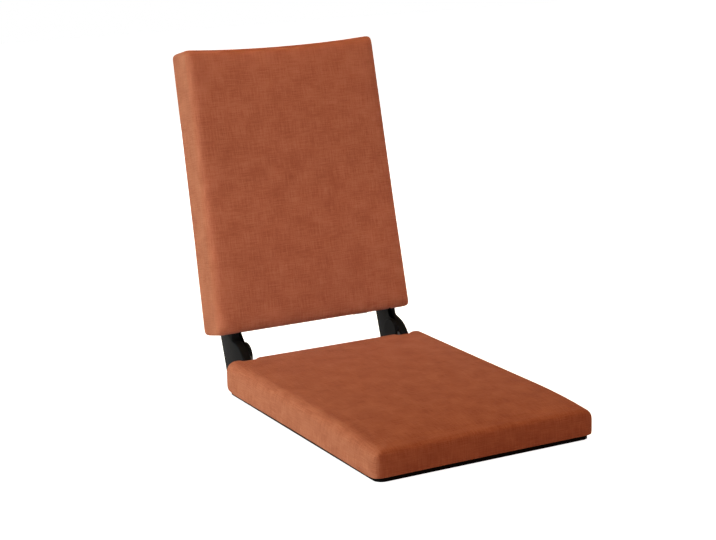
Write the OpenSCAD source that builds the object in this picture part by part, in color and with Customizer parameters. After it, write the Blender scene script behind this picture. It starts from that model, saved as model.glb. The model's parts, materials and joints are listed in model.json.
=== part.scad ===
// Folding floor chair. A padded seat lies on a thin moulded base, and a padded back stands
// on two covered hinge arms. The open back rests on stop pins and folds forward onto the seat.
// +Y is the rear, +X the right as seen from the front, and the floor is at z = 0. Left and
// right in the names of pieces are as seen from the front as well.

/* [Seat] */
// Width of the seat, side to side
seat_w = 400; // [380:5:440]
// Depth of the seat, front to back
seat_d = 545; // [500:5:600]
// Height of the seat's top edge above the floor
seat_h = 57; // [54:1:64]
// Rise of the middle of the seat above its top edge
seat_crown = 4; // [2:0.5:6]
// Radius of the seat's corners, seen from above
seat_corner_r = 20; // [18:1:28]
// Rounding of the seat's top edge along its sides
seat_edge_r = 20; // [14:1:22]
// How far the top edge's rounding reaches in from the front and from the rear
seat_end_reach = 11; // [8:0.5:16]
// Rounding of the seat's bottom edge
seat_hem_r = 6; // [4:0.5:8]
// How far each side of the seat draws in between its corners
seat_draw = 1.5; // [0.5:0.5:3]

/* [Back] */
// Distance of the back pad's sides in from the seat's sides, at half its height
back_side_gap = 10; // [6:1:16]
// How much narrower the back pad is at its top than at its bottom
back_taper = 16; // [4:1:20]
// Height of the back pad, along its own slope
back_h = 504; // [440:2:560]
// Thickness of the back pad at its edges
back_t = 81; // [78:1:88]
// Rise of the middle of the back pad's front above its edges
back_crown = 5; // [2:0.5:7]
// Rise of the middle of the back pad's rear above its edges
back_rear_crown = 3; // [1:0.5:5]
// Radius of the back pad's corners, seen from the front
back_corner_r = 14; // [12:1:20]
// Rounding of the back pad's long edges
back_edge_r = 16; // [12:1:20]
// How far the top edge of the back pad sags between its corners
back_top_sag = 5; // [2:0.5:8]
// How far the sides of the back pad draw in between its corners
back_draw = 1.5; // [0.5:0.5:3]
// Lean of the open back from the vertical, in degrees
back_lean = 13; // [10:0.2:14]
// Angle by which the back folds forward, in degrees
fold_angle = 93; // [84:1:93]

/* [Hinge arms] */
// Distance of the hinge axis behind the seat
axis_behind = 20; // [18:1:26]
// Distance of the back pad's front face in front of the hinge axis
pad_forward = 6; // [4:0.1:7]
// Gap between the hinge disc and the bottom of the back pad
pad_gap = 10; // [9:0.2:14]
// Distance of an arm's outer face in from the side of the back pad
arm_inset = 23; // [18:0.5:30]
// Thickness of a covered arm
arm_t = 15.4; // [14.8:0.1:17]
// Radius of the round hinge end of an arm
arm_disc_r = 31; // [30:0.5:34]
// Radius of the flatter curve on top of the round end
brow_r = 54; // [50:1:58]
// Distance of that curve's centre behind the hinge axis
brow_behind = 21; // [19:0.5:23]
// Distance of that curve's centre below the hinge axis
brow_drop = 26; // [24:0.5:28]
// Distance of the front of an arm's neck behind the hinge axis
neck_front = 9.5; // [8:0.5:12]
// Radius of the hollow between an arm's neck and its round end
neck_fillet_r = 8; // [6:0.5:10]
// Distance of an arm's straight rear edge behind the hinge axis
arm_rear = 55.5; // [52:0.5:58]
// Slant of an arm's rear edge against the back pad, in degrees
arm_slant = 6; // [3:0.5:8]
// How far an arm's tail hangs below the hinge axis
tail_drop = 42; // [40:0.5:44]
// Distance of the front of an arm's tail behind the hinge axis
tail_front = 2; // [0:0.5:6]
// Rounding of the front corner of an arm's tail
tail_front_r = 6; // [4:0.5:8]
// Rounding of the rear corner of an arm's tail
tail_rear_r = 10; // [8:0.5:14]
// Rounding of the outer edge of an arm's covers
arm_edge_r = 2.4; // [1:0.2:3]
// Wall of an arm's moulded covers
arm_wall = 2.2; // [1.8:0.1:2.6]
// Length of an arm's covers inside the back pad
cover_reach = 17; // [12:1:24]

/* [Hinge steel] */
// Thickness of the steel plate in each arm
arm_plate_t = 4; // [3:0.5:5]
// Gap between an arm's plate and the edge of its covers
arm_plate_inset = 3.5; // [3:0.1:4.5]
// Length of an arm's plate above the bottom of the back pad
arm_plate_reach = 120; // [100:5:160]
// Width of the flanges that are bolted to the boards
flange_w = 34; // [30:1:40]
// Thickness of the steel hinge plate on each side of the seat
hinge_plate_t = 3; // [2.5:0.5:4]
// Radius of the round end of a hinge plate
hinge_plate_r = 20; // [19:0.5:22]
// Length of a hinge plate in front of the hinge axis
hinge_plate_len = 145; // [120:5:180]
// Height of a hinge plate's front end above the seat board
hinge_plate_rise = 14; // [10:1:18]
// Gap between the moving arm and the fixed hinge plate
hinge_gap = 0.4; // [0.3:0.1:0.8]
// Diameter of the pivot bolt's shoulder
pivot_d = 10; // [8:0.5:11]
// Diameter of the stop pin
stop_pin_d = 5; // [4:0.5:5.5]
// Distance of the stop pin from the hinge axis
stop_pin_reach = 13; // [12.5:0.1:13.5]

/* [Base] */
// Thickness of the anti-slip sheet
sheet_t = 1; // [0.8:0.1:2]
// Distance of the anti-slip sheet in from the edge of the base
sheet_inset = 7; // [4:0.5:12]
// Height of the moulded base without its anti-slip sheet
base_h = 7; // [5:0.5:9]
// Distance of the base in from the side of the seat
base_inset = 5; // [3:0.5:8]
// Thickness of the base's floor
base_floor_t = 2; // [1.6:0.1:2.4]
// Thickness of the base's rim
base_rim_t = 2.5; // [2:0.1:4]
// Thickness of the ribs in the base
base_rib_t = 2; // [1.6:0.1:3]
// Number of ribs that run from front to back
base_long_ribs = 5; // [3:1:9]
// Number of ribs that run from side to side
base_cross_ribs = 7; // [5:1:11]

/* [Upholstery] */
// Thickness of the woven covers with their lining
cover_t = 1.5; // [1.2:0.1:2]
// Width of the cover that is turned in under the seat board
cover_turn_in = 40; // [30:1:60]
// Thickness of the seat board
seat_board_t = 9; // [9:1:12]
// Distance of the seat board's edge in from the side of the seat
seat_board_inset = 9; // [8:0.5:14]
// Thickness of the back board
back_board_t = 9; // [9:1:12]
// Distance of the back board's edge in from the side of the back pad
back_board_inset = 12; // [10:0.5:16]
// Thickness of the foam between the back board and the front of the back pad
back_front_foam = 49.5; // [46:0.5:52]
// Length of the zip under the back pad
zip_len = 250; // [200:5:280]

/* [Hidden] */

fabric_colour = "#985037";
moulding_colour = "#1d1b1a";
steel_colour = "#8b8f94";
zinc_colour = "#b9bcbf";
nylon_colour = "#e4e0d6";
board_colour = "#c49c6d";
foam_colour = "#e9dcae";
rubber_colour = "#262423";

// Small clearances, and the length by which a cut runs past a face
over = 0.5;
fit_gap = 0.05;
free_gap = 0.3;
foam_gap = 0.2;
play = 0.1;
round_fn = 72;
small_fn = 32;

// Levels of the seat, from the floor up
base_z = sheet_t;
hem_z = base_z + base_h;
seat_board_z = hem_z + cover_t;
seat_board_top = seat_board_z + seat_board_t;

// The hinge axis lies level with the top edge of the seat, so the pads meet when folded
axis_y = seat_d / 2 + axis_behind;
axis_z = seat_h;
pad_bottom = arm_disc_r + pad_gap;
pad_rear = back_t - pad_forward;
back_w = seat_w - 2 * back_side_gap;
back_board_v = cover_t + back_front_foam - pad_forward;
back_board_bottom = pad_bottom + cover_reach + free_gap;
back_board_top = pad_bottom + back_h - back_top_sag - back_board_inset;
back_flange_len = pad_bottom + arm_plate_reach - back_board_bottom;

// Places along X of what one hinge holds, measured from the middle of the chair
arm_outer_x = back_w / 2 - arm_inset;
arm_inner_x = arm_outer_x - arm_t;
hinge_plate_outer_x = arm_inner_x - hinge_gap;
hinge_plate_inner_x = hinge_plate_outer_x - hinge_plate_t;
arm_plate_stand = 1.2;
arm_plate_inner_x = arm_inner_x + arm_wall + arm_plate_stand;
arm_plate_outer_x = arm_plate_inner_x + arm_plate_t;
nut_t = 2.5;
nut_across = 13;
nut_r = nut_across / (2 * cos(30));
cap_face_t = 1.2;
cap_wall = 2.3;
cap_edge_r = 1.5;
cap_r = hinge_plate_r + cap_wall;
cap_inner_x = hinge_plate_inner_x - nut_t - cap_face_t - free_gap;
thread_d = 8;
bush_wall = 2;
bush_flange_t = 1;
bush_flange_wall = 5;
bush_outer_d = pivot_d + 2 * play + 2 * bush_wall;
ring_wall = 5.5;
washer_t = 1;
spring_h = 1.1;
spring_t = 0.7;
spring_wall = 4.5;
head_gap = 0.2;
washer_x = arm_plate_outer_x + play;
spring_x = washer_x + washer_t;
head_x = spring_x + spring_h;
head_t = arm_outer_x - arm_wall - head_gap - head_x;
head_wall = 4;
socket_across = 6;
socket_share = 0.55;
seam_x = arm_plate_outer_x;
recess_gap = 1.5;
recess_r = arm_disc_r + recess_gap;
recess_inner_x = cap_inner_x - recess_gap;
recess_outer_x = arm_outer_x + recess_gap;
window_r = stop_pin_reach + stop_pin_d / 2 + over + over;
stop_pin_angle = 250;
flange_bolt_shares = [0.14, 0.5, 0.86];
flange_foot_gap = 12;
hinge_flange_len = hinge_plate_len - axis_behind - flange_foot_gap;

// Leg of a hinge plate: its heel behind the axis, its bend in front of it, and where it leaves
// the round end
hinge_heel = 2;
hinge_bend_reach = 52;
hinge_bend_rise = 20;
hinge_leg_low_angle = 44;
hinge_leg_high_angle = 14;

// Fasteners
bolt_d = 6;
bolt_clear = 0.2;
bolt_head_d = 11;
bolt_head_t = 3;
tee_flange_d = 18;
tee_flange_t = 1.2;
tee_barrel_d = 8;
tee_barrel_len = 7;
screw_d = 3;
screw_head_d = 5.6;
screw_head_t = 1.6;
screw_boss_wall = 1.9;
screw_end_gap = 1.5;
wood_screw_d = 4;
wood_screw_head_d = 8.4;
wood_screw_head_t = 2;
wood_screw_grip_share = 0.66;
base_boss_d = 12;
base_screw_gap = 10;
base_screw_x = hinge_plate_outer_x - flange_w - base_screw_gap;
base_screw_y_shares = [-0.37, -0.13, 0.13, 0.37];
sheet_corner_r = 16;
board_corner_r = 18;
back_board_corner_r = 12;
zip_width = 5;
zip_t = 1.6;
zip_tape_w = 14;
zip_tape_t = 0.6;
zip_v_share = 0.58;
zip_slider = [8, 12, 2.6];
zip_puller = [4, 20, 1.2];

// Screw places on an arm, as [distance behind the axis, height above it] in its own slope
neck_screw_edge = 13;
neck_screw_rise = 3.4;
tail_screw_v = 22;
tail_screw_rise = 11;
arm_screws = [[neck_front + neck_screw_edge, pad_bottom + neck_screw_rise],
    [tail_screw_v, tail_screw_rise - tail_drop]];

// Soft form: how finely an outline and its roundings are cut
corner_steps = 4;
side_steps = 4;
edge_steps = 4;
hem_steps = 2;
cap_steps = 4;

// Arm outline: how finely its curves are cut
fillet_steps = 5;
brow_steps = 12;
disc_steps = 8;
tail_steps = 4;
arm_edge_steps = 3;

quadrant_points = corner_steps + side_steps;
ring_points = 4 * quadrant_points;

// Point i of a rounded rectangle with the given half sizes and corner radius
function corner_centre(c, half, r) =
    [(c == 0 || c == 3 ? 1 : -1) * (half.x - r), (c < 2 ? 1 : -1) * (half.y - r)];
function corner_point(c, j, half, r) =
    let (a = 90 * c + 90 * j / corner_steps)
    corner_centre(c, half, r) + r * [cos(a), sin(a)];
function outline_point(i, half, r) =
    let (c = floor(i / quadrant_points), j = i - c * quadrant_points)
    j <= corner_steps ? corner_point(c, j, half, r) :
    let (t = (j - corner_steps) / side_steps)
    corner_point(c, corner_steps, half, r) * (1 - t) + corner_point((c + 1) % 4, 0, half, r) * t;

// Draws the sides in between the corners: draw is [sides, far end, near end]
function drawn(p, half, draw) =
    let (end_draw = p.y > 0 ? draw[1] : draw[2])
    [p.x - p.x / half.x * draw[0] * (1 - pow(p.y / half.y, 2)),
     p.y - p.y / half.y * end_draw * (1 - pow(p.x / half.x, 2))];

// Rise of a crowned face at a point
function crown_at(p, half, crown) =
    crown * (1 - pow(p.x / half.x, 2)) * (1 - pow(p.y / half.y, 2));

// Rings of a padded form from the middle of its underside to the middle of its top.
// Each row is [inset, shrink towards the middle, height, share of the top crown, of the bottom].
function pad_rows(t, edge_r, hem_r) = concat(
    [for (k = [1 : cap_steps]) [hem_r, k / cap_steps, 0, 0, 1]],
    [for (k = [1 : hem_steps]) let (a = 90 * k / hem_steps)
        [hem_r * (1 - sin(a)), 1, hem_r * (1 - cos(a)), 0, cos(a)]],
    [for (k = [0 : edge_steps]) let (a = 90 * k / edge_steps)
        [edge_r * (1 - cos(a)), 1, t - edge_r * (1 - sin(a)), sin(a), 0]],
    [for (k = [1 : cap_steps - 1]) [edge_r, 1 - k / cap_steps, t, 1, 0]]);

// The ends' roundings reach in by end_share of the sides', and taper draws in the sides at the
// far end and lets them out at the near end
function pad_ring(row, half, r, end_share, taper, draw, crown, under) =
    [for (i = [0 : ring_points - 1])
        let (inner = [half.x - row[0], half.y - row[0] * end_share],
             p = drawn(outline_point(i, inner, max(r - row[0], over)) * row[1], half, draw))
        [p.x * (1 - taper * p.y / half.y), p.y,
         row[2] + row[3] * crown_at(p, half, crown) - row[4] * crown_at(p, half, under)]];

// A closed padded form, crowned and drawn in, that lies on z = 0
module padded_form(w, d, t, r, edge_r, hem_r, end_share, taper, draw, crown, under) {
    half = [w / 2, d / 2];
    rows = pad_rows(t, edge_r, hem_r);
    count = len(rows);
    points = concat([[0, 0, -under]],
        [for (row = rows) each pad_ring(row, half, r, end_share, taper, draw, crown, under)],
        [[0, 0, t + crown]]);
    last = len(points) - 1;
    polyhedron(points, concat(
        [for (i = [0 : ring_points - 1]) [0, 1 + i, 1 + (i + 1) % ring_points]],
        [for (k = [0 : count - 2], i = [0 : ring_points - 1])
            let (a = 1 + k * ring_points + i, b = 1 + k * ring_points + (i + 1) % ring_points)
            each [[a, a + ring_points, b], [b, a + ring_points, b + ring_points]]],
        [for (i = [0 : ring_points - 1])
            [last, last - ring_points + (i + 1) % ring_points, last - ring_points + i]]));
}

// The outside of the seat cushion, or the same form drawn in by a wall
module seat_form(wall) {
    translate([0, 0, hem_z + wall])
        padded_form(seat_w - 2 * wall, seat_d - 2 * wall, seat_h - hem_z - 2 * wall,
            seat_corner_r - wall, seat_edge_r - wall, seat_hem_r - wall,
            seat_end_reach / seat_edge_r, 0, [seat_draw, seat_draw, seat_draw], seat_crown, 0);
}

// The outside of the back pad in the back's own slope, or the same form drawn in by a wall
module back_form(wall) {
    translate([0, pad_rear - wall, pad_bottom + back_h / 2])
        rotate([90, 0, 0])
            padded_form(back_w - 2 * wall, back_h - 2 * wall, back_t - 2 * wall,
                back_corner_r - wall, back_edge_r - wall, back_edge_r - wall,
                1, back_taper / (2 * back_w), [back_draw, back_top_sag, 0], back_crown,
                back_rear_crown);
}

// Places what belongs to the back: y runs back through its thickness, z up its slope
module in_back() {
    translate([0, axis_y, axis_z]) rotate([-back_lean, 0, 0]) children();
}

// Places what turns about or lies around the hinge axis, but stays with the seat
module at_axis() {
    translate([0, axis_y, axis_z]) children();
}

// The right side is drawn, and the left is its mirror image
module side(left) {
    if (left) mirror([1, 0, 0]) children();
    else children();
}

// Extrudes an outline in [y, z] along X, from one place to another
module along_x(from, to) {
    translate([from, 0, 0]) rotate([90, 0, 90]) linear_extrude(to - from) children();
}

// A round bar along X
module bar_x(from, to, d, fn = round_fn) {
    translate([from, 0, 0]) rotate([0, 90, 0]) cylinder(h = to - from, d = d, $fn = fn);
}

module ring_x(from, to, outer_d, inner_d) {
    difference() {
        bar_x(from, to, outer_d);
        bar_x(from - over, to + over, inner_d);
    }
}

module rounded_rect(w, d, r) {
    square([w - 2 * r, d], center = true);
    square([w, d - 2 * r], center = true);
    for (x = [-1, 1], y = [-1, 1])
        translate([x * (w / 2 - r), y * (d / 2 - r)]) circle(r = r, $fn = round_fn);
}

// Points on an arc about c, from angle a0 to a1
function arc(c, r, a0, a1, steps) =
    [for (k = [0 : steps]) let (a = a0 + (a1 - a0) * k / steps) c + r * [cos(a), sin(a)]];

// Direction of the outer tangent of two circles, as the angle of its normal
function tangent_angle(a, ra, b, rb) =
    let (d = b - a, to = atan2(d.y, d.x), turn = acos((ra - rb) / norm(d)))
    (to - turn + 720) % 360;

tail_front_c = [tail_front + tail_front_r, tail_front_r - tail_drop];
tail_rear_u = tail_rear_r - tail_drop;
tail_rear_c = [(arm_rear * cos(arm_slant) - tail_rear_r + tail_rear_u * sin(arm_slant))
    / cos(arm_slant), tail_rear_u];
brow_c = [brow_behind, -brow_drop];
fillet_c = [neck_front - neck_fillet_r, sqrt(pow(brow_r + neck_fillet_r, 2)
    - pow(brow_behind + neck_fillet_r - neck_front, 2)) - brow_drop];
brow_from = atan2(fillet_c.y - brow_c.y, fillet_c.x - brow_c.x);
disc_to = tangent_angle([0, 0], arm_disc_r, tail_front_c, tail_front_r);
tail_to = tangent_angle(tail_front_c, tail_front_r, tail_rear_c, tail_rear_r);

// Where the flatter curve on top of the round end runs into it, both drawn in by g
function brow_end(g) =
    let (d = norm(brow_c), w = brow_c / d,
         a = (pow(arm_disc_r - g, 2) - pow(brow_r - g, 2) + d * d) / (2 * d),
         h = sqrt(pow(arm_disc_r - g, 2) - a * a))
    [a * w.x + h * w.y, a * w.y - h * w.x];

// Angle of a direction, from 0 to 360 degrees
function turn_of(p) = (atan2(p.y, p.x) + 360) % 360;

// Outline of an arm, drawn in by g and cut off at the height top
function arm_points(g, top) = concat(
    [[neck_front + g, top]],
    arc(fillet_c, neck_fillet_r + g, 0, brow_from - 180, fillet_steps),
    [for (k = [1 : brow_steps])
        let (a = brow_from + (turn_of(brow_end(g) - brow_c) - brow_from) * k / brow_steps)
        brow_c + (brow_r - g) * [cos(a), sin(a)]],
    [for (k = [1 : disc_steps])
        let (from = turn_of(brow_end(g)), a = from + (disc_to - from) * k / disc_steps)
        (arm_disc_r - g) * [cos(a), sin(a)]],
    arc(tail_front_c, tail_front_r - g, disc_to, tail_to, tail_steps),
    arc(tail_rear_c, tail_rear_r - g, tail_to, 360 - arm_slant, tail_steps),
    [[arm_rear - g / cos(arm_slant) + top * tan(arm_slant), top]]);

// A moulded arm shell, solid: straight from its seam and rounded into its face
module arm_loft(seam, face, edge_r, top) {
    way = face > seam ? 1 : -1;
    levels = concat([[seam, 0]],
        [for (k = [0 : arm_edge_steps]) let (a = 90 * k / arm_edge_steps)
            [face - way * edge_r * (1 - sin(a)), edge_r * (1 - cos(a))]]);
    rings = [for (l = levels) [for (p = arm_points(l[1], top)) [l[0], p.x, p.y]]];
    n = len(rings[0]);
    last = len(rings) - 1;
    sides = [for (k = [0 : last - 1], i = [0 : n - 1])
        let (a = k * n + i, b = k * n + (i + 1) % n)
        each (way > 0 ? [[a, a + n, b], [b, a + n, b + n]] : [[a, b, a + n], [b, b + n, a + n]])];
    first_face = [for (i = [0 : n - 1]) way > 0 ? i : n - 1 - i];
    last_face = [for (i = [0 : n - 1]) last * n + (way > 0 ? n - 1 - i : i)];
    // The end that faces +X comes first
    caps = way > 0 ? [last_face, first_face] : [first_face, last_face];
    polyhedron([for (ring = rings) each ring], concat([caps[0]], sides, [caps[1]]));
}

cover_top = pad_bottom + cover_reach;

// A solid arm shell, cut flat at the seam between the two covers
module arm_shell(face, edge_r) {
    way = face > seam_x ? 1 : -1;
    difference() {
        arm_loft(seam_x - way * over, face, edge_r, cover_top);
        along_x(way > 0 ? seam_x - 2 * over : seam_x, way > 0 ? seam_x : seam_x + 2 * over)
            square(8 * arm_disc_r, center = true);
    }
}

// The round-ended hinge plate with its leg, grown by g where it needs room
module hinge_plate_outline(g) {
    foot = seat_board_top - axis_z;
    circle(r = hinge_plate_r + g, $fn = round_fn);
    polygon([
        [-hinge_plate_len - g, foot - g],
        [hinge_heel + g, foot - g],
        (hinge_plate_r + g) * [cos(hinge_leg_low_angle), -sin(hinge_leg_low_angle)],
        [0, 0],
        (hinge_plate_r + g) * [-cos(hinge_leg_high_angle), sin(hinge_leg_high_angle)],
        [-hinge_bend_reach, foot + hinge_bend_rise + g],
        [-hinge_plate_len - g, foot + hinge_plate_rise + g]]);
}

// Flange of a hinge plate, flat on the seat board
module hinge_flange(g) {
    translate([hinge_plate_outer_x - flange_w - g, axis_y - hinge_plate_len - g, seat_board_top - g])
        cube([flange_w + g, hinge_flange_len + 2 * g, hinge_plate_t + 2 * g]);
}

// Places of the bolts in one hinge plate's flange
module hinge_bolt_places() {
    for (share = flange_bolt_shares)
        translate([hinge_plate_inner_x - flange_w / 2,
            axis_y - hinge_plate_len + hinge_flange_len * share, seat_board_top]) children();
}

// Places of the bolts in one arm's flange, with z pointing forward out of the back board
module back_bolt_places() {
    for (share = flange_bolt_shares)
        translate([arm_plate_inner_x - flange_w / 2, back_board_v,
            back_board_bottom + back_flange_len * share])
            rotate([90, 0, 0]) children();
}

// A bolt with a domed head that stands on z = plate_t and runs down through a board
module flange_bolt(plate_t, board_t) {
    length = board_t - tee_flange_t;
    translate([0, 0, -length]) cylinder(h = length + plate_t + over, d = bolt_d, $fn = small_fn);
    translate([0, 0, plate_t]) rotate_extrude($fn = small_fn)
        polygon(concat([[0, 0]], [for (k = [0 : cap_steps]) let (a = 90 * k / cap_steps)
            [bolt_head_d / 2 * cos(a), bolt_head_t * sin(a)]]));
}

module flange_bolt_room(plate_t, board_t) {
    translate([0, 0, -board_t - over])
        cylinder(h = board_t + plate_t + over, d = bolt_d + 2 * bolt_clear, $fn = small_fn);
    translate([0, 0, plate_t])
        cylinder(h = bolt_head_t + free_gap, d = bolt_head_d + 2 * free_gap, $fn = small_fn);
}

// A tee nut let into the far side of a board
module tee_nut(board_t) {
    difference() {
        union() {
            translate([0, 0, -board_t])
                cylinder(h = tee_flange_t, d = tee_flange_d, $fn = small_fn);
            translate([0, 0, -board_t]) cylinder(h = tee_barrel_len, d = tee_barrel_d, $fn = small_fn);
        }
        translate([0, 0, -board_t - over])
            cylinder(h = tee_barrel_len + 2 * over, d = bolt_d + 2 * fit_gap, $fn = small_fn);
    }
}

module tee_nut_room(board_t) {
    translate([0, 0, -board_t - over])
        cylinder(h = tee_flange_t + fit_gap + over, d = tee_flange_d + 2 * fit_gap, $fn = small_fn);
    translate([0, 0, -board_t - over])
        cylinder(h = tee_barrel_len + fit_gap + over, d = tee_barrel_d + 2 * fit_gap, $fn = small_fn);
}

// Places of the screws that hold the seat board down on the base
module base_screw_places() {
    for (x = [-1, 1], share = base_screw_y_shares)
        translate([x * base_screw_x, seat_d * share, base_z]) children();
}

// The round pocket behind the seat in which a hinge turns, with a wall added
module recess(wall) {
    at_axis() bar_x(recess_inner_x - wall, recess_outer_x + wall, 2 * (recess_r + wall));
}

module anti_slip_sheet() {
    edge = base_inset + sheet_inset;
    color(rubber_colour) linear_extrude(sheet_t)
        rounded_rect(seat_w - 2 * edge, seat_d - 2 * edge, sheet_corner_r);
}

base_w = seat_w - 2 * base_inset;
base_d = seat_d - 2 * base_inset;
base_corner_r = seat_corner_r - base_inset;

module base_ribs() {
    for (k = [1 : base_long_ribs])
        translate([base_w * (k / (base_long_ribs + 1) - 1 / 2) - base_rib_t / 2,
            -base_d / 2 + base_rim_t, base_z + base_floor_t])
            cube([base_rib_t, base_d - 2 * base_rim_t, base_h - base_floor_t]);
    for (k = [1 : base_cross_ribs])
        translate([-base_w / 2 + base_rim_t,
            base_d * (k / (base_cross_ribs + 1) - 1 / 2) - base_rib_t / 2, base_z + base_floor_t])
            cube([base_w - 2 * base_rim_t, base_rib_t, base_h - base_floor_t]);
}

module base_tray() {
    color(moulding_colour) difference() {
        union() {
            difference() {
                translate([0, 0, base_z]) linear_extrude(base_h)
                    rounded_rect(base_w, base_d, base_corner_r);
                translate([0, 0, base_z + base_floor_t]) linear_extrude(base_h)
                    rounded_rect(base_w - 2 * base_rim_t, base_d - 2 * base_rim_t,
                        base_corner_r - base_rim_t);
            }
            base_ribs();
            base_screw_places() cylinder(h = base_h + cover_t, d = base_boss_d, $fn = small_fn);
        }
        base_screw_places() {
            translate([0, 0, -over]) cylinder(h = base_h + cover_t + 2 * over,
                d = wood_screw_d + 2 * bolt_clear, $fn = small_fn);
            translate([0, 0, -over]) cylinder(h = wood_screw_head_t + fit_gap + over,
                d = wood_screw_head_d + 2 * bolt_clear, $fn = small_fn);
        }
    }
}

module base_screws() {
    length = base_h + cover_t + seat_board_t * wood_screw_grip_share;
    color(zinc_colour) base_screw_places() difference() {
        union() {
            cylinder(h = wood_screw_head_t, d = wood_screw_head_d, $fn = small_fn);
            cylinder(h = length, d = wood_screw_d, $fn = small_fn);
        }
        translate([0, 0, -over]) cylinder(h = wood_screw_head_t / 2 + over,
            d = wood_screw_d, $fn = 6);
    }
}

seat_board_w = seat_w - 2 * seat_board_inset;
seat_board_d = seat_d - 2 * seat_board_inset;

// The seat board without its bores, grown by g where it needs room
module seat_board_block(g) {
    translate([0, 0, seat_board_z - g]) linear_extrude(seat_board_t + 2 * g)
        rounded_rect(seat_board_w + 2 * g, seat_board_d + 2 * g, board_corner_r);
}

module seat_board() {
    color(board_colour) difference() {
        seat_board_block(0);
        for (left = [true, false]) side(left) hinge_bolt_places() {
            flange_bolt_room(hinge_plate_t, seat_board_t);
            tee_nut_room(seat_board_t);
        }
        base_screw_places()
            cylinder(h = base_h + cover_t + seat_board_t * wood_screw_grip_share + fit_gap,
                d = wood_screw_d + 2 * fit_gap, $fn = small_fn);
    }
}

module seat_tee_nuts() {
    color(zinc_colour) for (left = [true, false]) side(left)
        hinge_bolt_places() tee_nut(seat_board_t);
}

module seat_foam() {
    color(foam_colour) difference() {
        seat_form(cover_t + foam_gap);
        seat_board_block(play);
        for (left = [true, false]) side(left) {
            recess(cover_t + foam_gap);
            at_axis() along_x(hinge_plate_inner_x - free_gap, hinge_plate_outer_x + free_gap)
                hinge_plate_outline(free_gap);
            hinge_flange(free_gap);
            hinge_bolt_places() flange_bolt_room(hinge_plate_t, 0);
        }
    }
}

module seat_cover() {
    turn = cover_turn_in + cover_t;
    color(fabric_colour) difference() {
        seat_form(0);
        difference() {
            seat_form(cover_t);
            for (left = [true, false]) side(left) recess(cover_t);
        }
        for (left = [true, false]) side(left) {
            recess(0);
            at_axis() along_x(hinge_plate_inner_x - free_gap, hinge_plate_outer_x + free_gap)
                hinge_plate_outline(free_gap);
        }
        translate([0, 0, hem_z - over]) linear_extrude(cover_t + 2 * over)
            rounded_rect(seat_w - 2 * turn, seat_d - 2 * turn, board_corner_r);
    }
}

module hinge_plate(left) {
    color(steel_colour) side(left) difference() {
        union() {
            at_axis() along_x(hinge_plate_inner_x, hinge_plate_outer_x) hinge_plate_outline(0);
            hinge_flange(0);
        }
        at_axis() {
            bar_x(hinge_plate_inner_x - over, hinge_plate_outer_x + over, thread_d + 2 * play);
            stop_pin_place() bar_x(hinge_plate_inner_x - over, hinge_plate_outer_x + over,
                stop_pin_d + 2 * fit_gap);
        }
        hinge_bolt_places() flange_bolt_room(hinge_plate_t, 0);
    }
}

module hinge_plate_bolts() {
    color(zinc_colour) for (left = [true, false]) side(left)
        hinge_bolt_places() flange_bolt(hinge_plate_t, seat_board_t);
}

module stop_pin_place() {
    translate([0, stop_pin_reach * cos(stop_pin_angle), stop_pin_reach * sin(stop_pin_angle)])
        children();
}

module stop_pin(left) {
    color(steel_colour) side(left) at_axis() stop_pin_place()
        bar_x(hinge_plate_inner_x, arm_plate_outer_x + over, stop_pin_d);
}

module pivot_bolt(left) {
    color(zinc_colour) side(left) at_axis() difference() {
        union() {
            bar_x(hinge_plate_inner_x - nut_t, head_x, thread_d);
            bar_x(hinge_plate_outer_x, head_x + over, pivot_d);
            bar_x(head_x, head_x + head_t, pivot_d + 2 * head_wall);
        }
        bar_x(head_x + head_t * (1 - socket_share), head_x + head_t + over,
            socket_across / cos(30), 6);
    }
}

module pivot_nuts() {
    color(zinc_colour) for (left = [true, false]) side(left) at_axis() difference() {
        bar_x(hinge_plate_inner_x - nut_t, hinge_plate_inner_x, 2 * nut_r, 6);
        bar_x(hinge_plate_inner_x - nut_t - over, hinge_plate_inner_x + over,
            thread_d + 2 * fit_gap);
    }
}

module spacer_rings() {
    color(zinc_colour) for (left = [true, false]) side(left) at_axis()
        ring_x(hinge_plate_outer_x, arm_plate_inner_x - bush_flange_t - play,
            pivot_d + 2 * ring_wall, pivot_d + 2 * play);
}

module thrust_washers() {
    color(nylon_colour) for (left = [true, false]) side(left) at_axis()
        ring_x(washer_x, spring_x, pivot_d + 2 * ring_wall, pivot_d + 2 * play);
}

// Coned disc springs that press the arm against its washer
module disc_springs() {
    inner = pivot_d / 2 + play;
    color(steel_colour) for (left = [true, false]) side(left) at_axis()
        translate([spring_x, 0, 0]) rotate([0, 90, 0]) rotate_extrude($fn = round_fn)
            polygon([[inner, spring_h - spring_t], [inner + spring_wall, 0],
                [inner + spring_wall, spring_t], [inner, spring_h]]);
}

module hinge_cap(left) {
    depth = hinge_plate_outer_x - cap_inner_x;
    color(moulding_colour) side(left) at_axis() difference() {
        translate([cap_inner_x, 0, 0]) rotate([0, 90, 0]) rotate_extrude($fn = round_fn)
            polygon(concat([[0, 0]],
                [for (k = [0 : cap_steps]) let (a = 90 * k / cap_steps)
                    [cap_r - cap_edge_r * (1 - sin(a)), cap_edge_r * (1 - cos(a))]],
                [[cap_r, depth], [0, depth]]));
        bar_x(hinge_plate_inner_x - play, hinge_plate_outer_x + over, 2 * (hinge_plate_r + play));
        bar_x(cap_inner_x + cap_face_t, hinge_plate_inner_x + over, 2 * (nut_r + free_gap));
        along_x(hinge_plate_inner_x - play, hinge_plate_outer_x + over) hinge_plate_outline(play);
        stop_pin_place() bar_x(hinge_plate_inner_x - free_gap, hinge_plate_outer_x + over,
            stop_pin_d + free_gap);
    }
}

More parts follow.
